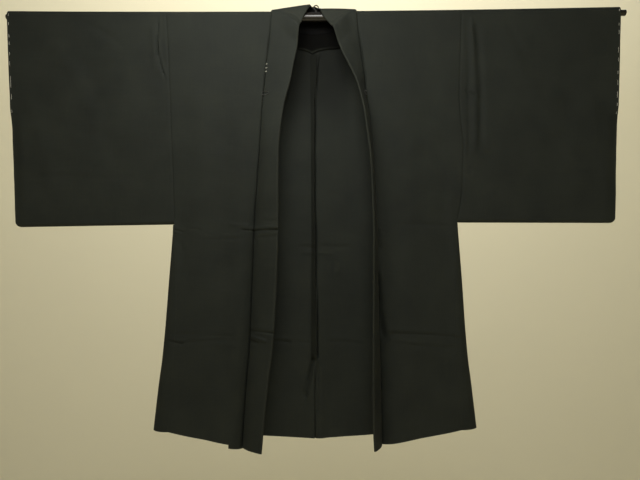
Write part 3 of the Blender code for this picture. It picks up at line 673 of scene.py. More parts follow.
# the lining is black silk, and its near-black deep and worn colours also paint the shade that falls inside
# the neck
liningSilkWithPaintedShade = wovenSilk(
    "Black lining silk with painted shade", dict(silkLook, deep="#040403", worn="#080807", threadMm=0.9), 0.85, 0.05)
stripSilk = wovenSilk(
    "Black seam binding silk", dict(silkLook, deep="#111310", worn="#1e201b", threadMm=0.9), 0.82, 0.10)
blackCord = twistedThread("Black twisted cord", "#20201c", "#10100e", 2.262)
whiteThread = twistedThread("White basting cotton", "#f1efe4", "#cfccbd", 0.9425)
blackThread = twistedThread("Black sewing silk", "#3a3a33", "#1c1c19", 0.9425)
rodEnamel = blackEnamel("Glossy black enamel", 0.5, 0.20, 0.30)
wireEnamel = blackEnamel("Worn black enamel on wire", 0.0, 0.50, 0.68)
print("stage: materials made")

# how rubbed each place of the cloth is
rubbed = {"hem": 0.8, "seam": 0.5, "fold": 0.9, "rod": 0.35, "sleeveFoot": 0.6, "tape": 0.7}


def meshObject(name, spots, faces, material):
    # a mesh with outward normals, lifted near the rod by its bow
    spots[:, 2] += bowRise(spots[:, 0], spots[:, 2])
    mesh = bpy.data.meshes.new(name)
    mesh.from_pydata(spots.tolist(), [], faces)
    work = bmesh.new()
    work.from_mesh(mesh)
    bmesh.ops.recalc_face_normals(work, faces=work.faces)
    work.to_mesh(mesh)
    work.free()
    mesh.materials.append(material)
    obj = bpy.data.objects.new(name, mesh)
    bpy.context.scene.collection.objects.link(obj)
    return obj


def makeSheet(name, points, uv, material, wearAndPaintedLight, quads=None):
    # a wall of cloth round a middle surface, with its own UV map in metres
    faces = [tuple(dict.fromkeys(face)) for face in quads or gridQuads(*points.shape[:2])]
    used = sorted({i for face in faces for i in face})
    renumber = dict(zip(used, range(len(used))))
    faces = [tuple(renumber[i] for i in face) for face in faces]
    obj = meshObject(name, points.reshape(-1, 3)[used], faces, material)
    mesh = obj.data
    layer = mesh.uv_layers.new(name="cloth")
    corners = np.array([loop.vertex_index for loop in mesh.loops])
    layer.data.foreach_set("uv", uv.reshape(-1, 2)[used][corners].ravel())
    mesh.attributes.new("wearAndPaintedLight", "FLOAT", "POINT").data.foreach_set("value", wearAndPaintedLight.reshape(-1)[used])
    bpy.ops.object.select_all(action="DESELECT")
    bpy.context.view_layer.objects.active = obj
    obj.select_set(True)
    wall = obj.modifiers.new("Cloth", "SOLIDIFY")
    wall.thickness = cut["cloth"]
    wall.offset = 0.0
    wall.use_quality_normals = True
    bpy.ops.object.modifier_apply(modifier="Cloth")
    bpy.ops.object.shade_smooth_by_angle(angle=math.radians(50))
    obj.select_set(False)
    return obj


def gridQuads(rows, columns, closed=False, looped=False, keep=None):
    # faces of a grid; closed joins its last column to the first, and looped its last row
    quads = []
    for r in range(rows if looped else rows - 1):
        s = (r + 1) % rows
        for c in range(columns if closed else columns - 1):
            if keep is None or keep(r, c):
                d = (c + 1) % columns
                quads.append((r * columns + c, r * columns + d, s * columns + d, s * columns + c))
    return quads


def finePitch(length, pitch=0.0050, edge=(0.0012, 0.0035)):
    # steps of about a pitch, with closer ones beside both edges, as shares of the length
    steps = max(2, round((length - 2 * edge[-1]) / pitch))
    inner = np.linspace(edge[-1], length - edge[-1], steps + 1)
    return np.concatenate([[0], edge[:-1], inner, [length - e for e in edge[:-1]][::-1], [length]]) / length


def register(piece, node, slot, *sheetArgs, **sheetNames):
    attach(piece, "root")
    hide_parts(node)
    return piece


# body: one length of cloth for each side, front over the rod to the back
bodyLook = {"pitch": 0.0050, "rodSteps": 14, "frontWidth": 0.235, "seamDitch": 0.0011, "ditchWidth": 0.0022,
            "lap": 0.004, "straightTo": -0.90, "centreDitch": 0.0046, "centreWidth": 0.0016}


def lengthLevels(foot):
    # heights down a length, close together where it is folded across and at its ends
    return spaced(cut["rodAxisZ"], foot, bodyLook["pitch"], [
        (cut["rodAxisZ"], 0.008, 0.0020), (foldBands[0], 0.020, 0.0014),
        (foldBands[0] - 0.055, 0.020, 0.0024), (foldBands[1], 0.020, 0.0014), (foot, 0.005, 0.0012)])


def toHem(z, foot, hem):
    # level rows that lean into the slope of the hem near the foot
    start = bodyLook["straightTo"]
    return np.where(z > start, z, start + (z - start) * (hem - start) / (foot - start))


def bodyPiece(side):
    # u runs from the side to the neck opening, and v on from there to the centre-back seam
    pitch, frontWidth, neckHalf = bodyLook["pitch"], bodyLook["frontWidth"], cut["neckHalf"]
    u = spaced(0, frontWidth, pitch, [(0, 0.007, 0.0011), (frontWidth, 0.013, 0.0008)]) / frontWidth
    v = spaced(0, neckHalf, pitch, [
        (0, 0.005, 0.0012), (neckHalf - 0.007, 0.009, 0.0008), (neckHalf, 0.006, 0.0006)])[1:] / neckHalf
    # the front from its hem upwards, the turn over the rod, and the back down to its hem
    levels = lengthLevels(cut["frontHemSeam"])
    frontLengths = levels[::-1]
    z, uu = np.meshgrid(frontLengths, u, indexing="ij")
    front = frontPoint(side, uu, toHem(z, levels[-1], frontHem(uu)))
    turn, over = np.meshgrid(np.linspace(180, 0, bodyLook["rodSteps"] + 1)[1:-1], u, indexing="ij")
    top = overRod(side, mix(sideRows[0].left, neckHalf, over), turn)
    levels = lengthLevels(cut["backHemCentre"])
    z, uu = np.meshgrid(levels, u, indexing="ij")
    z = toHem(z, levels[-1], backHem(mix(sideRows[0].left, neckHalf, uu)))
    back = backPoint(side, mix(sideEdge(side, z), neckHalf, uu), z)
    # the back below the neck opening, whose edge hangs lower in its middle
    z, vv = np.meshgrid(levels, v, indexing="ij")
    across = mix(neckHalf, 0.0, vv)
    z = toHem(z, levels[-1], backHem(across))
    z = z + (necklineZ(across) - cut["rodAxisZ"]) * (1 - ease((cut["rodAxisZ"] - z) / 0.12))
    neck = backPoint(side, across, z)
    # the cloth dips into each seam
    sideDitch = bodyLook["seamDitch"] * bump(u * frontWidth, bodyLook["ditchWidth"])
    front[..., 1] += sideDitch * ease((front[..., 2] - cut["sleeveFootZ"]) / 0.02)
    back[..., 1] -= sideDitch * ease((back[..., 2] - cut["sleeveFootZ"]) / 0.02)
    centreDip = bodyLook["centreDitch"] * bump((1 - v) * neckHalf, bodyLook["centreWidth"])
    neck[..., 1] += centreDip * ease((cut["bindingFoot"] - 0.004 - z) / 0.05)
    if side == left:
        # its seam allowance lies behind the other side's
        extra = neck[:, -1:] + np.array([[0.0, 0.0006, 0.0], [bodyLook["lap"], 0.0014, 0.0]])
        neck = np.concatenate([neck, extra], 1)
        v = np.concatenate([v, [1.006, 1.04]])
    blank = np.zeros((len(front) + len(top), len(v), 3))
    points = np.concatenate([
        np.concatenate([front, blank[: len(front)]], 1),
        np.concatenate([top, blank[len(front):]], 1),
        np.concatenate([back, neck], 1),
    ])
    lengths = np.concatenate([frontLengths, np.linspace(-0.018, 0.018, len(top)), -levels])
    widths = np.concatenate([u * frontWidth, frontWidth + v * neckHalf])
    uv = np.stack(np.meshgrid(widths, lengths), -1)
    firstBack = len(front) + len(top)
    wearAndPaintedLight = np.zeros(points.shape[:2])
    wearAndPaintedLight[:, 0] = rubbed["seam"]
    wearAndPaintedLight[:2] = wearAndPaintedLight[-2:] = rubbed["hem"]
    wearAndPaintedLight[len(front): firstBack] = rubbed["rod"]
    # painted shade: the inside of the back is darkened towards the neck, where the collar and rod shade it
    paintedNeckShade = ease((z + 0.32) / 0.20) * ease((neckHalf - across) / 0.03)
    paintedNeckShade = paintedNeckShade * mix(0.6, 1.0, ease((z + 0.075) / 0.015))
    wearAndPaintedLight[firstBack:, len(u): len(u) + paintedNeckShade.shape[1]] -= paintedNeckShade
    quads = gridQuads(len(points), len(widths), keep=lambda r, c: c < len(u) - 1 or r >= firstBack)
    return makeSheet(f"body{sideWord[side].title()}Cloth", points, uv, blackSilk, wearAndPaintedLight, quads)


for side in (left, right):
    register(bodyPiece(side), f"body_{sideWord[side]}", "black_silk", (0.345, 1.98), "hung",
             rests_on=["rod_centre"], area=0.53)
print("stage: body lengths hung")

# sleeves: flat tubes over the rod, sewn shut below the cuff opening
sleeveLook = {"pitch": 0.0050, "width": 0.36, "rodSteps": 14, "footSteps": 8, "measuredRow": 10,
              "bulge": 0.0016, "lowDepth": 0.0070, "closedDepth": 0.0035, "seamDitch": 0.0009,
              "cuffLowest": cut["rodAxisZ"] + cut["rest"] - cut["cuffOpening"]}


def sleeveEnd(z):
    share = (cut["rodAxisZ"] - z) / (cut["rodAxisZ"] - cut["sleeveFootZ"])
    corner = cut["sleeveCorner"]
    into = np.clip(corner - (z - cut["sleeveFootZ"] + cut["sleeveFootDrop"]), 0, corner)
    return cut["sleeveReach"] - cut["cuffLean"] * share - (corner - np.sqrt(corner**2 - into**2))


def sleeveAcross(side, out, z):
    return mix(sideEdge(side, np.maximum(z, cut["sleeveFootZ"])) + cut["seamGap"], sleeveEnd(z), out)


def sleeveDepth(out, z):
    share = (cut["rodAxisZ"] - z) / (cut["rodAxisZ"] - cut["sleeveFootZ"])
    depth = mix(sideDepth(z), mix(cut["rest"], sleeveLook["lowDepth"], ease(share)), ease(out * 2))
    closing = ease((out - 0.93) / 0.07) * ease((sleeveLook["cuffLowest"] + 0.03 - z) / 0.05)
    return mix(depth, sleeveLook["closedDepth"], closing)


def sewnEnd(side, points, frontIds, backIds, feet):
    # the sleeve's end below the cuff opening: one more row of points between the edges of front and back
    sewn = [i for i in range(len(frontIds)) if points[-1, frontIds[i], 2] < sleeveLook["cuffLowest"]]
    base = points.shape[0] * points.shape[1]
    last = base - points.shape[1]
    extra = [(points[-1, frontIds[i]] + points[-1, backIds[i]]) / 2
             + np.array([side * sleeveLook["bulge"] * ease(n / 4), 0, 0]) for n, i in enumerate(sewn)]
    quads = []
    for n, (one, two) in enumerate(zip(sewn, sewn[1:])):
        quads.append((base + n, base + n + 1, last + frontIds[two], last + frontIds[one]))
        quads.append((base + n + 1, base + n, last + backIds[one], last + backIds[two]))
    feetIds = [frontIds[-1] + i for i in range(feet + 2)]
    tip = base + len(sewn) - 1
    quads += [(tip, tip, last + two, last + one) for one, two in zip(feetIds, feetIds[1:])]
    return np.array(extra), quads


def sleevePiece(side):
    width = sleeveLook["width"]
    outs = spaced(0, width, sleeveLook["pitch"], [(0, 0.026, 0.0017), (width, 0.006, 0.0012)]) / width
    share = finePitch(0.46, sleeveLook["pitch"])
    footZ = cut["sleeveFootZ"] + cut["footFold"]

    def wall(out, s, sign):
        z = mix(cut["rodAxisZ"], footZ, s**1.3) - cut["sleeveFootDrop"] * out * s
        point = place(side, sleeveAcross(side, out, z), sign * sleeveDepth(out, z), z)
        lift = (frontLift if sign < 0 else backLift)(point[..., 0], point[..., 2])
        ditch = sleeveLook["seamDitch"] * bump(out * width, bodyLook["ditchWidth"])
        point[..., 1] += sign * (lift - ditch) * (1 - 0.6 * ease((s - 0.9) / 0.1))
        return point

    turns = np.linspace(0, 180, sleeveLook["rodSteps"] + 1)[1:-1]
    feet = np.linspace(180, 360, sleeveLook["footSteps"] + 1)[1:-1]
    turn, out = np.meshgrid(turns, outs, indexing="xy")
    top = overRod(side, mix(sideRows[0].left + cut["seamGap"], cut["sleeveReach"], out), turn)
    s, out = np.meshgrid(share, outs, indexing="xy")
    front, back = wall(out, s, -1), wall(out, s[:, ::-1], 1)
    foot, out = np.meshgrid(feet, outs, indexing="xy")
    angle = np.radians(foot)
    z = footZ - cut["sleeveFootDrop"] * out + cut["footFold"] * np.sin(angle)
    depth = sleeveDepth(out, np.full_like(out, footZ))
    bottom = place(side, sleeveAcross(side, out, z), depth * np.cos(angle), z)
    points = np.concatenate([top, front, bottom, back], 1)
    columns = points.shape[1]
    # its length round is measured a little out from the armhole
    uv = np.stack(np.meshgrid(lengthAlong(points[sleeveLook["measuredRow"]]), outs * width), -1)
    quads = gridQuads(len(outs), columns, closed=True)
    wearAndPaintedLight = np.zeros(points.shape[:2])
    wearAndPaintedLight[-3:] = rubbed["hem"]
    wearAndPaintedLight[:, len(turns) + len(share): len(turns) + len(share) + len(feet)] = rubbed["sleeveFoot"]
    frontIds = [len(turns) + i for i in range(len(share))]
    backIds = [columns - 1 - i for i in range(len(share))]
    extra, endQuads = sewnEnd(side, points, frontIds, backIds, len(feet))
    extraUv = [(0.5, width + 0.004 * n) for n in range(len(extra))]
    quads += endQuads
    points = np.concatenate([points.reshape(-1, 3), extra])
    uv = np.concatenate([uv.reshape(-1, 2), np.array(extraUv)])
    wearAndPaintedLight = np.concatenate([wearAndPaintedLight.reshape(-1), np.full(len(extra), rubbed["hem"])])
    return makeSheet(f"sleeve{sideWord[side].title()}Cloth", points, uv, blackSilk, wearAndPaintedLight, quads)


for side in (left, right):
    register(sleevePiece(side), f"sleeve_{sideWord[side]}", "black_silk", (0.36, 0.985), "hung",
             rests_on=["rod_centre"])
print("stage: sleeves hung")

# gussets: the side strips, folded outwards between front and back
gussetLook = {"pitch": 0.005, "angles": 29, "flatWidth": 0.08, "flatLength": 0.464, "rubbedFold": (11, 14)}


def gussetPiece(side):
    top, foot = gussetRows[0].z, cut["hemSide"]
    levels = spaced(top, foot, gussetLook["pitch"], [
        (foldBands[0], 0.020, 0.0016), (foldBands[1], 0.020, 0.0016), (foot, 0.005, 0.0012)])
    rows = (top - levels) / (top - foot)
    angles = np.radians(np.linspace(-90, 90, gussetLook["angles"]))
    down, angle = np.meshgrid(rows, angles, indexing="ij")
    z = mix(top, foot, down)
    across = mix(sideEdge(side, z) + cut["gussetGap"], follow(gussetRows, "fold", z), np.cos(angle))
    points = place(side, across, sideDepth(z) * np.sin(angle), z)
    x, z = points[..., 0], points[..., 2]
    points[..., 1] += backLift(x, z) * np.maximum(np.sin(angle), 0)
    points[..., 1] -= frontLift(x, z) * np.maximum(-np.sin(angle), 0)
    uv = np.stack(np.meshgrid(
        np.linspace(0, gussetLook["flatWidth"], len(angles)), rows * gussetLook["flatLength"]), -1)
    wearAndPaintedLight = np.zeros(points.shape[:2])
    wearAndPaintedLight[-2:] = rubbed["hem"]
    wearAndPaintedLight[:, slice(*gussetLook["rubbedFold"])] = rubbed["seam"]
    return makeSheet(f"gusset{sideWord[side].title()}Cloth", points, uv, blackSilk, wearAndPaintedLight)


for side in (left, right):
    register(gussetPiece(side), f"gusset_{sideWord[side]}", "black_silk", (0.095, 0.465), "hung",
             rests_on=[f"body_{sideWord[side]}"], area=0.0285)
print("stage: gussets set in")

# collar: a strip folded outwards in half along both fronts and round the back neck
collarLook = {"layerSteps": 20, "turnSteps": 6, "pitch": 0.0045, "puff": 0.0011, "edgeBend": 0.0038,
              "bridgeSteps": 15, "flatWidth": 0.118, "shadedNeckRows": 22, "belly": {left: 0.0050, right: 0.0052},
              "footDrop": {left: 0.0108, right: -0.0065}, "seamDrop": {left: 0.0068, right: 0.0}}

# ridges where the collar turns over the rod; from and to, width and height
facetRow = namedtuple("facetRow", "x1 z1 x2 z2 width height")
collarFacets = {
    left: inMillimetres(facetRow, [(66.6, -21.1, 35.4, -52.9, 11, 10), (95, -30, 56, -90, 14, 0.8)]),
    right: inMillimetres(facetRow, [(81.9, -19.5, 47.9, -55.3, 11, 10), (96, -32, 70, -88, 14, 0.8)]),
}


def smoothAlong(points, count):
    # even points along a smooth curve through the given ones
    padded = np.concatenate([2 * points[:1] - points[1:2], points, 2 * points[-1:] - points[-2:-1]])
    spans = len(points) - 1
    at = np.linspace(0, spans, count)
    i = np.minimum(at.astype(int), spans - 1)
    t = (at - i)[:, None]
    a, b, c, d = padded[i], padded[i + 1], padded[i + 2], padded[i + 3]
    return 0.5 * (2 * b + (c - a) * t + (2 * a - 5 * b + 4 * c - d) * t**2 + (3 * b - a - 3 * c + d) * t**3)


def collarFold(side, z, drop=0.0):
    # the folded edge below the neck
    reach = mix(cut["rest"], cut["frontHang"], lowShare(z)) + follow(collarRows[side], "reach", z)
    return place(side, follow(collarRows[side], "fold", z), -reach, z - drop)


def collarStations(side):
    topZ = collarRows[side][0].z
    z = spaced(cut["frontHemSeam"], topZ, collarLook["pitch"], [
        (foldBands[0], 0.016, 0.0012), (foldBands[1], 0.018, 0.0013), (cut["frontHemSeam"], 0.005, 0.0015)])
    seam = frontPoint(side, 1.0, z)
    nearHem = ease((-0.90 - z) / 0.09)
    seam[:, 2] -= collarLook["seamDrop"][side] * nearHem
    fold = collarFold(side, z, collarLook["footDrop"][side] * nearHem)
    # over the rod and along the back neck
    rodTurns, neckTurns = np.linspace(180, 0, 19), np.linspace(-8, -100, 16)
    turns = np.concatenate([rodTurns, neckTurns])
    neck = np.stack([follow(shadedNeckRows[side], name, turns, by="turn") for name in ("across", "y", "z")], -1)
    neck[:, 0] = cut["slide"] + side * neck[:, 0]
    # between the front and the rod the fold runs smoothly from one into the other
    steps = collarLook["bridgeSteps"]
    seamBridge = frontPoint(side, 1.0, np.linspace(topZ, cut["rodAxisZ"], steps + 1)[1:-1])
    knots = np.stack([fold[-8], fold[-1], neck[0], neck[3]])
    foldBridge = smoothAlong(knots, 3 * steps + 1)[steps + 1: 2 * steps]
    aroundRod = overRod(side, cut["neckHalf"], rodTurns)
    slit = mix(cut["neckHalf"], 0.0, (-neckTurns / 100) ** 0.9)
    slit[-1] = 0.0
    back = np.stack([cut["slide"] + side * slit, neckDepth(slit), necklineZ(slit)], -1)
    seams = np.concatenate([seam, seamBridge, aroundRod, back])
    folds = np.concatenate([fold, foldBridge, neck])
    # the way from the seam into the collar: across on the fronts, upwards at the back neck
    inwards = np.tile([-side, 0.0, 0.0], (len(seams), 1))
    share = ((slit / cut["neckHalf"]) ** 4)[:, None]
    inwards[-len(slit):] = np.array([0.0, 0.0, 1.0]) * (1 - share) + inwards[-len(slit):] * share
    return seams, folds, unit(inwards), len(seam)


def fromRidge(row, side, x, z):
    # the share along a ridge, and the distance from it, above zero on the side of the neck
    dx, dz = row.x2 - row.x1, row.z2 - row.z1
    length = math.hypot(dx, dz)
    out = side * (x - cut["slide"]) - row.x1
    return (out * dx + (z - row.z1) * dz) / length**2, (out * dz - (z - row.z1) * dx) / length


def facetLift(side, x, z):
    total = np.zeros(x.shape)
    for row in collarFacets[side]:
        along, off = fromRidge(row, side, x, z)
        tent = np.maximum(0.0, 1 - np.abs(off) / np.where(off > 0, row.width, 2.8 * row.width))
        total += row.height * tent * ease((along + 0.5) / 0.5) * ease((1.8 - along) / 0.6)
    return total * ease((-0.018 - z) / 0.022)


def collarWearAndPaintedLight(side, points):
    inner = collarLook["layerSteps"]
    outer = inner + collarLook["turnSteps"] + 1
    wearAndPaintedLight = np.zeros(points.shape[:2])
    wearAndPaintedLight[:, inner - 1: outer] = rubbed["fold"]
    wearAndPaintedLight[:, -1] = rubbed["seam"]
    wearAndPaintedLight[:2] = rubbed["hem"]
    # painted highlight: the turn towards the neck, which faces up into the light, is lightened as far as its
    # ridge
    x, z = points[:, outer:, 0], points[:, outer:, 2]
    turned = 1.2 * ease(fromRidge(collarFacets[side][0], side, x, z)[1] / 0.003) * ease((z + 0.09) / 0.03)
    wearAndPaintedLight[:, outer:] = np.maximum(wearAndPaintedLight[:, outer:], turned)
    # painted shade: the inner layer at the back neck is darkened where it lies in shadow
    hidden = collarLook["shadedNeckRows"]
    wearAndPaintedLight[-hidden:, : inner + 1] = -ease(np.arange(hidden) / 8)[:, None]
    return wearAndPaintedLight


def collarSection(side, seams, folds, inwards):
    # rows of points from the sewn edge round the fold and back to the seam, and the way off the cloth
    middle = seams + folds
    ends = middle[1:2] - middle[:1], middle[-1:] - middle[-2:-1]
    along = unit(np.concatenate([ends[0], middle[2:] - middle[:-2], ends[1]]))
    towards = unit(folds - seams)
    outwards = unit(np.cross(along, towards) * side)
    lean = np.sqrt(np.maximum(0.0, 1 - (towards * inwards).sum(1) ** 2))
    start = seams + inwards * (cut["collarGap"] + cut["cloth"] / 2 * lean)[:, None]
    r = cut["foldRadius"]
    end = folds - towards * r
    lap = mix(0.0004, 0.004, ease((lean - 0.35) / 0.4))[:, None]
    lift = outwards * 2 * r
    steps = np.linspace(0, 1, collarLook["layerSteps"] + 1)
    section = [mix(start, end, t) for t in steps]
    for i in range(1, collarLook["turnSteps"]):
        turn = math.pi * i / collarLook["turnSteps"]
        section.append(end + outwards * r + towards * r * math.sin(turn) - outwards * r * math.cos(turn))
    free = start + towards * lap + lift
    # the outer layer puffs a little between its edges and rounds down into the seam
    span = np.linalg.norm(free - end - lift, axis=1)[:, None]
    away = np.concatenate([mix(1.0, 0.06, steps), [0.045, 0.032, 0.021, 0.012, 0.005, 0.0]])
    for t in away:
        sink = 1 - np.sqrt(np.maximum(0.0, 1 - np.maximum(0.0, 1 - t * span / collarLook["edgeBend"]) ** 2))
        puff = collarLook["puff"] * math.sin(math.pi * t) ** 0.8
        section.append(mix(free, end + lift, t) + outwards * puff - outwards * 1.7 * r * sink)
    return np.stack(section, 1), outwards


def collarPiece(side):
    seams, folds, inwards, straight = collarStations(side)
    points, outwards = collarSection(side, seams, folds, inwards)
    # creases run across it, and ridges where it turns over the rod
    share = np.linalg.norm(points - seams[:, None], axis=2) / np.linalg.norm(folds - seams, axis=1)[:, None]
    share = np.clip(share, 0, 1)
    atSeam = frontLift(seams[:, 0], seams[:, 2])[:, None]
    crease = frontLift(points[..., 0], points[..., 2]) - (1 - share) * atSeam
    crease[straight:] = 0.0
    facet = facetLift(side, points[..., 0], points[..., 2]) * ease((0.004 - points[..., 1]) / 0.008)
    facet = facet * ease((share - 0.1) / 0.5)
    points[..., 1] -= crease + facet
    belly = collarLook["belly"][side] * ease((-0.16 - seams[:, 2]) / 0.16)
    belly[straight:] = 0.0
    points += outwards[:, None] * (belly[:, None] * np.sin(math.pi * share**0.8))[..., None]
    points[-1, :, 0] = cut["slide"]
    widths = np.linspace(0, collarLook["flatWidth"], points.shape[1])
    uv = np.stack(np.meshgrid(widths, lengthAlong(seams)), -1)
    return makeSheet(f"collar{sideWord[side].title()}Cloth", points, uv, blackSilk, collarWearAndPaintedLight(side, points))


for side in (left, right):
    register(collarPiece(side), f"collar_{sideWord[side]}", "black_silk", (0.125, 1.13), "folded",
             rests_on=[f"body_{sideWord[side]}"])
print("stage: collar folded")

# inside of the back: shoulder lining and the strip over the centre seam
insideLook = {
    "liningHalf": 0.088, "liningFoot": -0.1025, "liningTip": -0.005, "liningRise": 0.0100,
    "bindingWidth": 0.014, "offset": 0.0018, "footStand": 0.0016, "bindingStand": 0.0026,
    "tabWider": 0.0030, "tabLong": 0.016,
}


def insidePoint(offset, z, stand):
    # a point that stands this far off the back, on either side of its seam
    across = np.abs(offset)
    onLeft, onRight = (backPoint(side, across, z, stand) for side in (left, right))
    return np.where((offset < 0)[..., None], onLeft, onRight)


# the lining's foot is a V, and its turned edge stands off the back
half = insideLook["liningHalf"]
share, offset = np.meshgrid(
    finePitch(0.05, 0.004), mix(-half, half, finePitch(2 * half, 0.004)), indexing="ij")
fromTip = offset - insideLook["liningTip"]
vEdge = insideLook["liningRise"] * (1 - np.exp(-np.abs(fromTip) / 0.012)) + 0.004 * np.abs(offset) / half
z = mix(necklineZ(np.abs(offset)) - 0.002, insideLook["liningFoot"] + vEdge, share)
points = insidePoint(offset, z, insideLook["offset"] + insideLook["footStand"] * ease((share - 0.5) / 0.5))
wearAndPaintedLight = np.zeros(points.shape[:2])
# the foot is lightened near its tip: hem wear, and a painted highlight where the turned edge catches the
# light
wearAndPaintedLight[-3:] = rubbed["hem"] * bump(fromTip[-3:], 0.035)
wearAndPaintedLight[:, [0, -1]] = rubbed["seam"]
# painted shade along the lining's top edge, in the shadow under the rod
wearAndPaintedLight[:2] = -1.0
lining = makeSheet("shoulderLiningCloth", points, np.stack([offset, z], -1), liningSilkWithPaintedShade, wearAndPaintedLight)
register(lining, "shoulder_lining", "lining_silk", (0.176, 0.062), "hung",
         rests_on=["body_left", "body_right"], area=0.0078)

# the strip is 14 mm wide; what is past its right edge is turned under
topZ, width = insideLook["liningFoot"] - 0.0012, insideLook["bindingWidth"]
z, strip = np.meshgrid(
    spaced(topZ, cut["bindingFoot"], 0.004, [(cut["bindingFoot"], 0.008, 0.0011)]),
    spaced(0, width, 0.0009), indexing="ij")
tab = ease((cut["bindingFoot"] + insideLook["tabLong"] - z) / 0.002)
rightEdge = follow(stripRows, "right", z) + insideLook["tabWider"] * tab
visible = rightEdge - cut["stripLeft"]
under = np.maximum(strip - visible, 0)
offset = cut["stripLeft"] + np.minimum(strip, visible) - under
rise = insideLook["bindingStand"] * ease((offset - cut["stripLeft"]) / visible) * (under == 0)
points = insidePoint(offset, z, insideLook["offset"] + rise)
wearAndPaintedLight = -0.4 * ease((z + 0.25) / 0.12)      # painted shade, darker towards the neck
wearAndPaintedLight[-2:] = rubbed["tape"]
binding = makeSheet("backSeamBindingCloth", points, np.stack([strip, z], -1), stripSilk, wearAndPaintedLight)
register(binding, "back_seam_binding", "black_silk", (0.017, 0.709), "hung",
         rests_on=["body_left", "body_right"])

# the turned-up hem of the left front, which hangs out beside the collar's foot
turningLook = {"width": 0.034, "topZ": -0.90, "footZ": -0.9982, "slope": 0.009, "pastSeam": 0.005,
               "offset": 0.0022}
share, inner = np.meshgrid(finePitch(0.1), finePitch(turningLook["width"], 0.004), indexing="ij")
z = mix(turningLook["topZ"], turningLook["footZ"] - turningLook["slope"] * inner, share)
seamAt = collarSeam(left, np.maximum(z, cut["frontHemSeam"]))
across = seamAt - turningLook["pastSeam"] + turningLook["width"] * (1 - inner)
points = frontPoint(left, (sideEdge(left, z) - across) / (sideEdge(left, z) - seamAt), z)
points[..., 1] += turningLook["offset"]
wearAndPaintedLight = np.zeros(points.shape[:2])
wearAndPaintedLight[-2:] = rubbed["hem"]
turning = makeSheet("hemTurningCloth", points, np.stack([across, z], -1), blackSilk, wearAndPaintedLight)
register(turning, "hem_turning", "black_silk", (0.045, 0.10), "folded", rests_on=["body_left"])
print("stage: inside pieces laid on the back")

# cord loops: the small closed loops for the haori ties, sewn down at the collar seams
loopLook = {"z": -0.202, "length": 0.018, "width": 0.008, "cord": 0.00085, "stand": 0.0013,
            "pastSeam": {left: 0.003, right: -0.003}}


def collarPlane(side, z):
    # the seam point, and the ways to the folded edge and off the cloth, at one height
    seam = frontPoint(side, 1.0, np.array([z]))[0]
    towards = unit(collarFold(side, z) - seam)
    return seam, towards, unit(np.cross([0.0, 0.0, 1.0], towards) * side)


def tubeMesh(path, radius, sides=8, closed=False, strands=0, turnLength=0.006):
    # round thread along a path, with raised strands where it is a cord
    path = np.asarray(path, float)
    if closed:
        along = unit(np.roll(path, -1, 0) - np.roll(path, 1, 0))
    else:
        along = unit(np.gradient(path, axis=0))
    across = unit(np.cross(along, [0.013, -1.0, 0.021]))
    above = np.cross(across, along)
    ring = np.linspace(0, math.tau, sides, endpoint=False)
    size = np.full((len(path), sides), radius)
    if strands:
        twist = math.tau * lengthAlong(path)[:, None] / turnLength
        size *= 0.93 + 0.07 * np.cos(strands * (ring[None] - twist))
    if not closed:
        size[[0, -1]] *= 0.55
    points = path[:, None] + size[..., None] * (
        across[:, None] * np.cos(ring)[None, :, None] + above[:, None] * np.sin(ring)[None, :, None])
    faces = gridQuads(len(path), sides, closed=True, looped=closed)
    if not closed:
        faces.append(tuple(range(sides))[::-1])
        faces.append(tuple((len(path) - 1) * sides + c for c in range(sides)))
    return points.reshape(-1, 3), faces


def threadPiece(name, parts, material):
    # one mesh from several round threads
    faces, start = [], 0
    for points, quads in parts:
        faces += [tuple(i + start for i in face) for face in quads]
        start += len(points)
    obj = meshObject(name, np.concatenate([points for points, quads in parts]), faces, material)
    obj.data.shade_smooth()
    return obj


for side in (left, right):
    seam, towards, outwards = collarPlane(side, loopLook["z"])
    lift = 2 * cut["foldRadius"] + cut["cloth"] / 2 + loopLook["cord"] + loopLook["stand"]
    middle = seam + towards * (loopLook["length"] / 2 - loopLook["pastSeam"][side]) + outwards * lift
    angles = np.linspace(0, math.tau, 64, endpoint=False)
    path = (middle + np.outer(np.cos(angles) * loopLook["length"] / 2, towards)
            + np.outer(np.sin(angles) * loopLook["width"] / 2 * (1 - 0.18 * np.cos(angles)), [0, 0, 1])
            + np.outer(0.0006 * np.cos(angles), outwards))
    loop = threadPiece(f"cordLoop{sideWord[side].title()}Twist", [
        tubeMesh(path, loopLook["cord"], sides=12, closed=True, strands=3, turnLength=0.0044)], blackCord)
    register(loop, f"cord_loop_{sideWord[side]}", "cord")
print("stage: cord loops sewn on")

# stitches: white basting along both cuffs, and the few that show on the collar
bastingRow = namedtuple("bastingRow", "top foot off")
bastingLook = {
    "thread": 0.00025, "inFromEdge": 0.0036, "stand": 0.0002, "backShift": -0.0115, "lowest": -0.262,
    left: inMillimetres(bastingRow, [
        (-22.5, -28.5, 0.2), (-42, -48.5, -0.2),
        (-69, -76.5, 0.3), (-85.5, -93.5, 0),
        (-109, -116.2, 0.4), (-129, -138.5, -0.4),
        (-161, -188, 0.2), (-201, -213, 0.4),
        (-235, -242, 0),
    ]),
    right: inMillimetres(bastingRow, [
        (-22, -26.8, 0), (-53, -59.2, 0.3),
        (-69, -78.5, -0.2), (-107, -119, 0.3),
        (-130, -138.8, -0.3), (-159, -166.2, 0.4),
        (-179, -190.8, 0), (-204, -218, 0.3),
        (-229, -236.2, -0.3), (-248, -253.5, 0),
    ]),
}


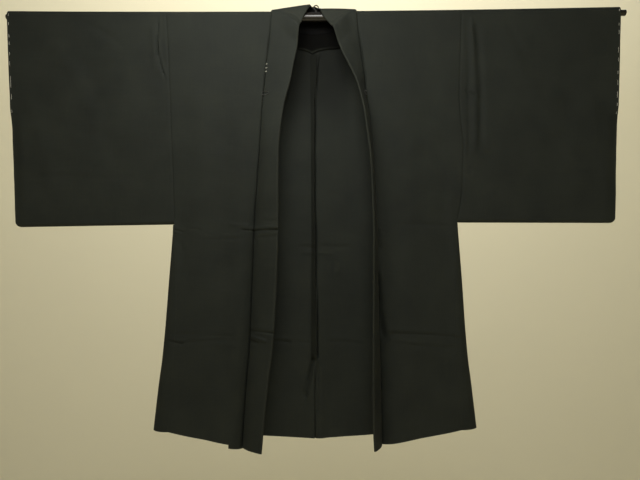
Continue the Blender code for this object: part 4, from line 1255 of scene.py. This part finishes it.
def stitchPath(one, two, outwards, stand, dive):
    # a stitch that rises out of the cloth, lies on it and goes back in
    t = np.linspace(0, 1, 14)
    rise = np.minimum(1, np.minimum(t, 1 - t) / 0.12)
    return one + np.outer(t, two - one) + np.outer(stand * rise - dive * (1 - rise), outwards)


def bastingThreads(side, face):
    parts = []
    for row in bastingLook[side]:
        shift = bastingLook["backShift"] if face > 0 else 0.0
        ends = []
        for z in (row.top + shift, row.foot + shift):
            z = max(z, bastingLook["lowest"])
            out = 1 - (bastingLook["inFromEdge"] + row.off) / sleeveLook["width"]
            if z > cut["rodAxisZ"]:
                turn = math.degrees(math.asin(min(1, (z - cut["rodAxisZ"]) / cut["rest"])))
                turn = 180 - turn if face < 0 else turn
                point = overRod(side, np.array([mix(sideRows[0].left, cut["sleeveReach"], out)]), turn)[0]
            else:
                z = np.array([z])
                point = place(side, sleeveAcross(side, out, z), face * sleeveDepth(out, z), z)[0]
                point[1] += face * (frontLift if face < 0 else backLift)(point[0], point[2])
            ends.append(point)
        normal = np.array([0.0, float(face), 0.0])
        stand = cut["cloth"] / 2 + bastingLook["thread"] * 0.6 + bastingLook["stand"]
        path = stitchPath(ends[0], ends[1], normal, stand, -cut["cloth"] * 0.3)
        parts.append(tubeMesh(path, bastingLook["thread"]))
    return parts


for side in (left, right):
    basting = bastingThreads(side, -1) + bastingThreads(side, 1)
    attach(threadPiece(f"cuffBasting{sideWord[side].title()}", basting, whiteThread), "root")

# three short stitches in pale thread cross the left collar seam above the loop, and black ones below it
seamStitch = {"pale": (-0.1352, -0.1440, -0.1518), "dark": (-0.2120, -0.2190),
              "long": 0.0040, "slant": 0.0006, "pastSeam": 0.0012, "thread": 0.00055}


def seamStitches(heights):
    parts = []
    for z in heights:
        seam, towards, outwards = collarPlane(left, z)
        middle = seam + towards * seamStitch["pastSeam"] + outwards * (1.5 * cut["foldRadius"])
        reach = towards * seamStitch["long"] / 2 + np.array([0, 0, seamStitch["slant"]])
        path = stitchPath(middle - reach, middle + reach, outwards, 0.0010, 0.0016)
        parts.append(tubeMesh(path, seamStitch["thread"]))
    return parts


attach(threadPiece("collarStitchesPale", seamStitches(seamStitch["pale"]), whiteThread), "root")
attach(threadPiece("collarStitchesDark", seamStitches(seamStitch["dark"]), blackThread), "root")
print("stage: cuffs basted")

# the rod: one smooth bowed tube; its thin ends and the hook keep their solids
rodLook = {"radius": 0.0110, "half": 0.666, "rim": 0.001, "sides": 64, "bends": 48}
bpy.ops.object.select_all(action="DESELECT")
bpy.ops.mesh.primitive_cylinder_add(
    vertices=rodLook["sides"], radius=rodLook["radius"], depth=2 * rodLook["half"],
    location=(0, 0, cut["rodAxisZ"]), rotation=(0, math.radians(90), 0))
rodTube = bpy.context.object
rodTube.name = "rodTube"
bpy.ops.object.transform_apply(location=True, rotation=True)
bpy.ops.object.mode_set(mode="EDIT")
bpy.ops.mesh.select_all(action="DESELECT")
bpy.ops.mesh.edges_select_sharp(sharpness=math.radians(60))
bpy.ops.mesh.bevel(offset=rodLook["rim"], segments=3)
# rings along it, so that it can bow
for at in np.linspace(-rodLook["half"], rodLook["half"], rodLook["bends"] + 1)[1:-1]:
    bpy.ops.mesh.select_all(action="SELECT")
    bpy.ops.mesh.bisect(plane_co=(at, 0, 0), plane_no=(1, 0, 0))
bpy.ops.object.mode_set(mode="OBJECT")
for vertex in rodTube.data.vertices:
    vertex.co.z += bowRise(vertex.co.x, vertex.co.z)
bpy.ops.object.shade_smooth_by_angle(angle=math.radians(50))
rodTube.data.materials.append(rodEnamel)
register(rodTube, "rod_centre", "enamel")
for nodeName in ("hook", "rod_end_left", "rod_end_right"):
    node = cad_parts[nodeName]
    node.data.materials.clear()
    node.data.materials.append(wireEnamel if nodeName == "hook" else rodEnamel)
print("stage: rod enamelled")

# studio: a pale round cove, soft lights and the camera
studio = {
    "floorZ": -1.62, "wallRadius": 3.2, "bend": 2.0, "wallTop": 2.2,
    "wallColour": "#d3cdb3", "worldColour": "#f1f4f4", "worldStrength": 0.15,
}
bpy.ops.object.select_all(action="DESELECT")
height = studio["wallTop"] - studio["floorZ"]
bpy.ops.mesh.primitive_cylinder_add(
    vertices=96, radius=studio["wallRadius"], depth=height, end_fill_type="NGON",
    location=(0, 0, studio["floorZ"] + height / 2))
cove = bpy.context.object
cove.name = "studioCove"
bpy.ops.object.transform_apply(location=True)
bpy.ops.object.mode_set(mode="EDIT")
work = bmesh.from_edit_mesh(cove.data)
lid = [face for face in work.faces if face.normal.z > 0.9]
bmesh.ops.delete(work, geom=lid, context="FACES_ONLY")
rim = [edge for edge in work.edges
       if all(abs(v.co.z - studio["floorZ"]) < 1e-5 for v in edge.verts)]
for face in work.faces:
    face.select = False
for edge in work.edges:
    edge.select = edge in rim
work.select_flush_mode()
bmesh.update_edit_mesh(cove.data)
bpy.ops.mesh.bevel(offset=studio["bend"], segments=18, profile=0.5)
bpy.ops.mesh.select_all(action="SELECT")
bpy.ops.mesh.normals_make_consistent(inside=True)
bpy.ops.object.mode_set(mode="OBJECT")
bpy.ops.object.shade_smooth()
# matt paint on plaster, so that the wall takes the light evenly
cove.data.materials.append(newMaterial("Matt studio paint", {
    "Base Color": fromHex(studio["wallColour"]), "Roughness": 0.9})[0])

world = bpy.data.worlds.new("softRoom")
bpy.context.scene.world = world
world.use_nodes = True
world.node_tree.nodes["Background"].inputs["Color"].default_value = fromHex(studio["worldColour"])
world.node_tree.nodes["Background"].inputs["Strength"].default_value = studio["worldStrength"]

lightRow = namedtuple("lightRow", "name place target size power colour spread", defaults=(180,))
lights = [
    lightRow("leftPanel", (-0.20, -0.45, 0.14), (-0.08, 0.0, -0.30), 0.30, 2.9, "#fffefa"),
    lightRow("rightPanel", (0.10, -0.70, 0.12), (0.05, 0.0, -0.30), 0.30, 1.9, "#fffefa"),
    lightRow("frontPanel", (0.10, -1.50, 0.20), (0.0, 0.0, -0.40), 0.5, 1.2, "#fffefa"),
    lightRow("roomFill", (0.0, -2.60, 0.40), (0.0, 0.0, -0.60), 2.0, 17, "#fffefa"),
    lightRow("backPanel", (0.3, 1.9, 1.0), (0.0, 0.0, -0.4), 1.0, 18, "#fffefa", 60),
    lightRow("wallWash", (0.0, 1.1, 2.0), (0.0, 3.0, 1.4), 2.0, 84, "#fffdf8"),
]
for row in lights:
    data = bpy.data.lights.new(row.name, "AREA")
    data.shape = "DISK"
    data.size = row.size
    data.energy = row.power
    data.spread = math.radians(row.spread)
    data.color = fromHex(row.colour)[:3]
    lamp = bpy.data.objects.new(row.name, data)
    lamp.location = row.place
    lamp.rotation_euler = (Vector(row.target) - Vector(row.place)).to_track_quat("-Z", "Y").to_euler()
    bpy.context.scene.collection.objects.link(lamp)

view = {"place": (0.00527, -1.163, -0.5325), "sensorMm": 36, "lensPixels": 511, "widthPixels": 640,
        "rollDegrees": -0.4}
cameraData = bpy.data.cameras.new("viewer")
cameraData.sensor_width = view["sensorMm"]
cameraData.lens = view["sensorMm"] * view["lensPixels"] / view["widthPixels"]
cameraData.clip_start = 0.05
cameraData.clip_end = 60
viewer = bpy.data.objects.new("viewer", cameraData)
viewer.location = view["place"]
upright = Euler((math.radians(90), 0, 0)).to_matrix()
roll = Euler((0, 0, math.radians(view["rollDegrees"]))).to_matrix()
viewer.rotation_euler = (upright @ roll).to_euler()
bpy.context.scene.collection.objects.link(viewer)
bpy.context.scene.camera = viewer
bpy.context.scene.view_settings.view_transform = "Standard"
print("stage: studio set")
